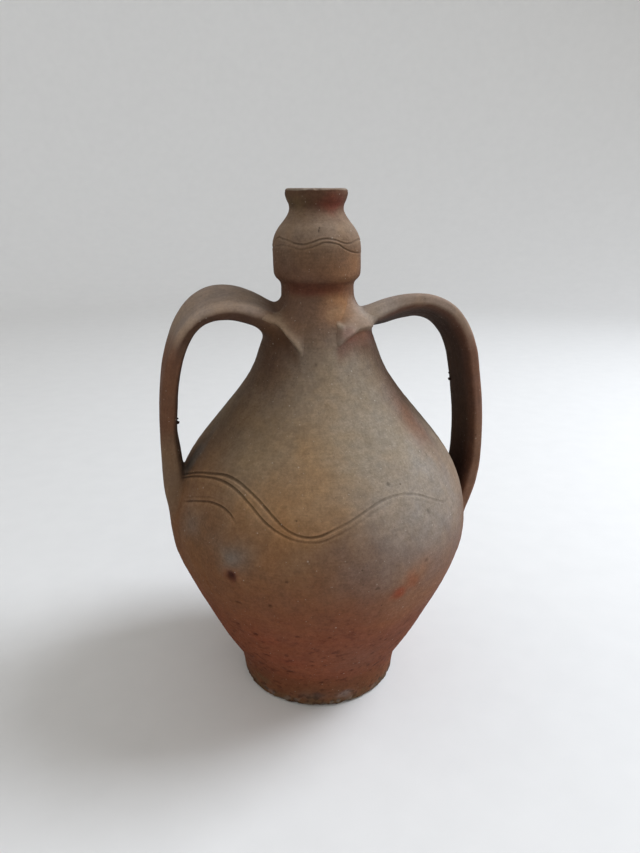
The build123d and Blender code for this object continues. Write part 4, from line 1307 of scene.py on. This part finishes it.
# ------------------------------------------------------------------- materials
def clay_material(name, grit, streak, rough, bump):
    mat = bpy.data.materials.new(name)
    mat.use_nodes = True
    nt = mat.node_tree
    nt.nodes.clear()
    N, L = nt.nodes.new, nt.links.new

    def node(kind, **inputs):
        n = N(kind)
        for k, v in inputs.items():
            if k in n.bl_rna.properties:
                setattr(n, k, v)
            else:
                n.inputs[k.replace("_", " ")].default_value = v
        return n

    out = N("ShaderNodeOutputMaterial")
    shader = N("ShaderNodeBsdfPrincipled")
    L(shader.outputs[0], out.inputs[0])
    shader.inputs["Specular IOR Level"].default_value = 0.10

    colour = N("ShaderNodeAttribute")
    colour.attribute_name = "clay"
    grain = N("ShaderNodeAttribute")
    grain.attribute_name = "grain"
    where = N("ShaderNodeTexCoord")

    def noisy(vector, scale, detail=2.0, roughness=0.5, distortion=0.0):
        n = N("ShaderNodeTexNoise")
        n.inputs["Scale"].default_value = scale
        n.inputs["Detail"].default_value = detail
        n.inputs["Roughness"].default_value = roughness
        n.inputs["Distortion"].default_value = distortion
        L(vector, n.inputs["Vector"])
        return n.outputs["Fac"]

    def remap(value, a, b, c, d):
        n = N("ShaderNodeMapRange")
        n.interpolation_type = "SMOOTHSTEP"
        L(value, n.inputs["Value"])
        for k, v in zip(("From Min", "From Max", "To Min", "To Max"), (a, b, c, d)):
            n.inputs[k].default_value = v
        return n.outputs["Result"]

    def maths(op, a, b):
        n = N("ShaderNodeMath")
        n.operation = op
        for k, v in enumerate((a, b)):
            if isinstance(v, (int, float)):
                n.inputs[k].default_value = v
            else:
                L(v, n.inputs[k])
        return n.outputs[0]

    def mixed(fac, a, b, blend="MIX"):
        n = N("ShaderNodeMix")
        n.data_type = "RGBA"
        n.blend_type = blend
        for k, v in ((0, fac), (6, a), (7, b)):
            if isinstance(v, (int, float)):
                n.inputs[k].default_value = v
            elif isinstance(v, tuple):
                n.inputs[k].default_value = (*v, 1.0)
            else:
                L(v, n.inputs[k])
        return n.outputs[2]

    def specks(scale, share, radius, shift):
        """Round specks in a share of the cells, as a mask."""
        move = N("ShaderNodeVectorMath")
        move.operation = "ADD"
        L(where.outputs["Object"], move.inputs[0])
        move.inputs[1].default_value = shift
        v = N("ShaderNodeTexVoronoi")
        v.inputs["Scale"].default_value = scale
        L(move.outputs[0], v.inputs["Vector"])
        pick = N("ShaderNodeSeparateColor")
        L(v.outputs["Color"], pick.inputs[0])
        size = remap(pick.outputs[1], 0.0, 1.0, radius * 0.5, radius)
        close = maths("DIVIDE", v.outputs["Distance"], size)
        dot = remap(close, 0.6, 1.15, 1.0, 0.0)
        chosen = remap(pick.outputs[0], 1.0 - share, 1.0 - share + 0.02, 0.0, 1.0)
        return maths("MULTIPLY", dot, chosen)

    obj = where.outputs["Object"]
    sand = noisy(obj, 720.0, 3.0, 0.65)
    mottle = noisy(obj, 230.0, 4.0, 0.65)
    cloud = noisy(obj, 60.0, 3.0, 0.55)
    lines = noisy(grain.outputs["Vector"], 1.0, 3.0, 0.6)
    dust = noisy(obj, 2600.0, 2.0, 0.6)

    c = colour.outputs["Color"]
    shade = maths("MULTIPLY", remap(sand, 0.30, 0.70, 1.0 - 0.11 * grit, 1.0 + 0.10 * grit), remap(mottle, 0.30, 0.72, 1.0 - 0.11 * grit, 1.0 + 0.10 * grit))
    shade = maths("MULTIPLY", shade, remap(lines, 0.32, 0.68, 1.0 - 0.045 * streak, 1.0 + 0.035 * streak))
    tint = N("ShaderNodeCombineColor")
    L(maths("MULTIPLY", shade, remap(cloud, 0.3, 0.7, 1.03, 0.97)), tint.inputs[0])
    L(shade, tint.inputs[1])
    L(maths("MULTIPLY", shade, remap(cloud, 0.3, 0.7, 0.95, 1.05)), tint.inputs[2])
    c = mixed(1.0, c, tint.outputs[0], "MULTIPLY")
    pale = specks(240.0, 0.22, 0.14, (0.013, 0.007, 0.021))
    pale2 = specks(520.0, 0.16, 0.20, (0.031, 0.017, 0.005))
    dark = specks(150.0, 0.18, 0.10, (0.003, 0.041, 0.011))
    dark2 = specks(420.0, 0.14, 0.20, (0.051, 0.002, 0.037))
    c = mixed(maths("MULTIPLY", pale, 0.26 * grit), c, (0.62, 0.55, 0.46))
    c = mixed(maths("MULTIPLY", pale2, 0.20 * grit), c, (0.60, 0.53, 0.44))
    c = mixed(maths("MULTIPLY", dark, 0.55 * grit), c, (0.045, 0.026, 0.020))
    c = mixed(maths("MULTIPLY", dark2, 0.32 * grit), c, (0.060, 0.036, 0.028))
    L(c, shader.inputs["Base Color"])

    L(remap(sand, 0.3, 0.7, rough + 0.05, rough - 0.06), shader.inputs["Roughness"])

    height = maths("ADD", maths("MULTIPLY", sand, 1.0), maths("MULTIPLY", dust, 0.45))
    height = maths("ADD", height, maths("MULTIPLY", lines, 0.30 * streak))
    height = maths("ADD", height, maths("MULTIPLY", pale, 0.35))
    height = maths("SUBTRACT", height, maths("MULTIPLY", dark, 0.6))
    b = N("ShaderNodeBump")
    b.inputs["Strength"].default_value = bump
    b.inputs["Distance"].default_value = 0.00032
    L(height, b.inputs["Height"])
    L(b.outputs[0], shader.inputs["Normal"])
    return mat


def plain_material(name, colour, rough, scale=40.0):
    """Pale backdrop with a barely visible mottle."""
    mat = bpy.data.materials.new(name)
    mat.use_nodes = True
    nt = mat.node_tree
    shader = nt.nodes["Principled BSDF"]
    shader.inputs["Roughness"].default_value = rough
    shader.inputs["Specular IOR Level"].default_value = 0.2
    tex = nt.nodes.new("ShaderNodeTexNoise")
    tex.inputs["Scale"].default_value = scale
    tex.inputs["Detail"].default_value = 3.0
    where = nt.nodes.new("ShaderNodeTexCoord")
    nt.links.new(where.outputs["Object"], tex.inputs["Vector"])
    ramp = nt.nodes.new("ShaderNodeMapRange")
    ramp.inputs["To Min"].default_value = 0.97
    ramp.inputs["To Max"].default_value = 1.03
    nt.links.new(tex.outputs["Fac"], ramp.inputs["Value"])
    mix = nt.nodes.new("ShaderNodeMix")
    mix.data_type = "RGBA"
    mix.blend_type = "MULTIPLY"
    mix.inputs[0].default_value = 1.0
    mix.inputs[6].default_value = (*colour, 1.0)
    nt.links.new(ramp.outputs[0], mix.inputs[7])
    nt.links.new(mix.outputs[2], shader.inputs["Base Color"])
    return mat


# ------------------------------------------------------------------- the scene
left, right = Strap(-1, LEFT_STRAP, 3, 3.0, 2.5), Strap(1, RIGHT_STRAP, 11, 4.2, 3.0)

body_mat = clay_material("clay_body", 1.0, 1.0, 0.86, 0.55)
handle_mat = clay_material("clay_handle", 0.75, 1.2, 0.84, 0.5)
luting_mat = clay_material("clay_luting", 0.9, 0.5, 0.86, 0.55)

pieces = [
    (make_foot(), "foot", "body_clay", body_mat),
    (make_lower_belly(), "lower_belly", "body_clay", body_mat),
    (make_shoulder(), "shoulder", "body_clay", body_mat),
    (make_neck(), "neck", "body_clay", body_mat),
    (make_bulb(), "bulb", "body_clay", body_mat),
    (make_lip(), "lip", "body_clay", body_mat),
    (make_strap("handle_left", left, [(124.0, -0.45, -1.0, 1.3), (121.0, -0.55, -1.0, 0.7)]), "handle_left", "handle_clay", handle_mat),
    (make_strap("handle_right", right, [(113.5, 0.82, -1.0, 1.4), (109.5, 0.88, -1.0, 0.8)]), "handle_right", "handle_clay", handle_mat),
    (make_root("handle_left_upper_pad", Root(left, left_wing, 7.0, 12.0), (-66, -40, 216), (-4, 40, 268), 0.6), "handle_left_upper_pad", "luting_clay", luting_mat),
    (make_root("handle_right_upper_pad", Root(right, right_wing, 3.6, 9.0), (2, -42, 216), (62, 42, 268), 0.6), "handle_right_upper_pad", "luting_clay", luting_mat),
    (make_root("handle_left_lower_pad", Root(left, left_heel, 3.0, 6.0, (146.0, 114.0, 13.0)), (-106, -50, 74), (-60, 50, 186), 0.78), "handle_left_lower_pad", "luting_clay", luting_mat),
    (make_root("handle_right_lower_pad", Root(right, no_wing, 4.0, 2.0, (140.0, 100.0, 10.0)), (66, -36, 66), (112, 36, 166), 0.7), "handle_right_lower_pad", "luting_clay", luting_mat),
]
for ob, node, slot, mat in pieces:
    ob.name = node + "_clay"
    ob.data.materials.append(mat)
    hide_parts(node)
    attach(ob, "root")


# stage: a pale floor that curves up into an all-round backdrop
def make_stage():
    rings = [(0.0, 0.0)] + [(r, 0.0) for r in (0.15, 0.4, 0.8, 1.2, 1.6)]
    for k in range(1, 17):
        t = math.pi / 2 * k / 16
        rings.append((1.6 + 0.7 * math.sin(t), 0.7 - 0.7 * math.cos(t)))
    rings += [(2.3, 1.2), (2.3, 1.7), (2.3, 2.2)]
    n = 96
    verts = [(0.0, 0.0, -0.00005)]
    for r, z in rings[1:]:
        for j in range(n):
            t = 2 * math.pi * j / n
            verts.append((r * math.cos(t), r * math.sin(t), z - 0.00005))
    faces = [(0, 1 + j, 1 + (j + 1) % n) for j in range(n)]
    for i in range(len(rings) - 2):
        a, b = 1 + i * n, 1 + (i + 1) * n
        for j in range(n):
            k = (j + 1) % n
            faces.append((a + j, b + j, b + k, a + k))
    me = bpy.data.meshes.new("floor")
    me.from_pydata(verts, [], faces)
    me.shade_smooth()
    ob = bpy.data.objects.new("floor", me)
    bpy.context.scene.collection.objects.link(ob)
    ob.data.materials.append(plain_material("floor_pale", (0.74, 0.725, 0.70), 0.75))


make_stage()


def area_light(name, angle, elevation, distance, size, power, colour, aim=(0.0, 0.0, 0.16)):
    """A soft lamp at an angle from the camera's side, looking at the pot."""
    t, e = math.radians(angle + FRONT), math.radians(elevation)
    target = Vector(aim)
    at = target + distance * Vector((math.sin(t) * math.cos(e), -math.cos(t) * math.cos(e), math.sin(e)))
    data = bpy.data.lights.new(name, "AREA")
    data.shape = "RECTANGLE"
    data.size, data.size_y = size
    data.energy = power
    data.color = colour
    ob = bpy.data.objects.new(name, data)
    ob.location = at
    ob.rotation_euler = (target - at).to_track_quat("-Z", "Y").to_euler()
    bpy.context.scene.collection.objects.link(ob)
    return ob


area_light("key", 104.0, 44.0, 1.75, (0.85, 0.85), 31.0, (0.90, 0.97, 1.08))
area_light("fill", 20.0, 30.0, 1.9, (1.6, 1.0), 5.0, (1.0, 0.98, 0.95))
area_light("side", -95.0, 35.0, 1.9, (1.2, 1.0), 2.6, (1.0, 0.95, 0.88))

world = bpy.data.worlds.new("studio")
world.use_nodes = True
world.node_tree.nodes["Background"].inputs[0].default_value = (0.96, 0.98, 1.0, 1.0)
world.node_tree.nodes["Background"].inputs[1].default_value = 0.47
bpy.context.scene.world = world

cam_data = bpy.data.cameras.new("camera")
cam_data.lens = 29.543
cam_data.sensor_width = 36.0
cam_data.clip_start, cam_data.clip_end = 0.01, 20.0
cam = bpy.data.objects.new("camera", cam_data)
cam.location = (-0.09398, -0.41420, 0.320)
cam.rotation_euler = (math.radians(90.0 - 18.83), 0.0, math.radians(FRONT))
bpy.context.scene.collection.objects.link(cam)
bpy.context.scene.camera = cam

bpy.context.scene.view_settings.view_transform = "Standard"
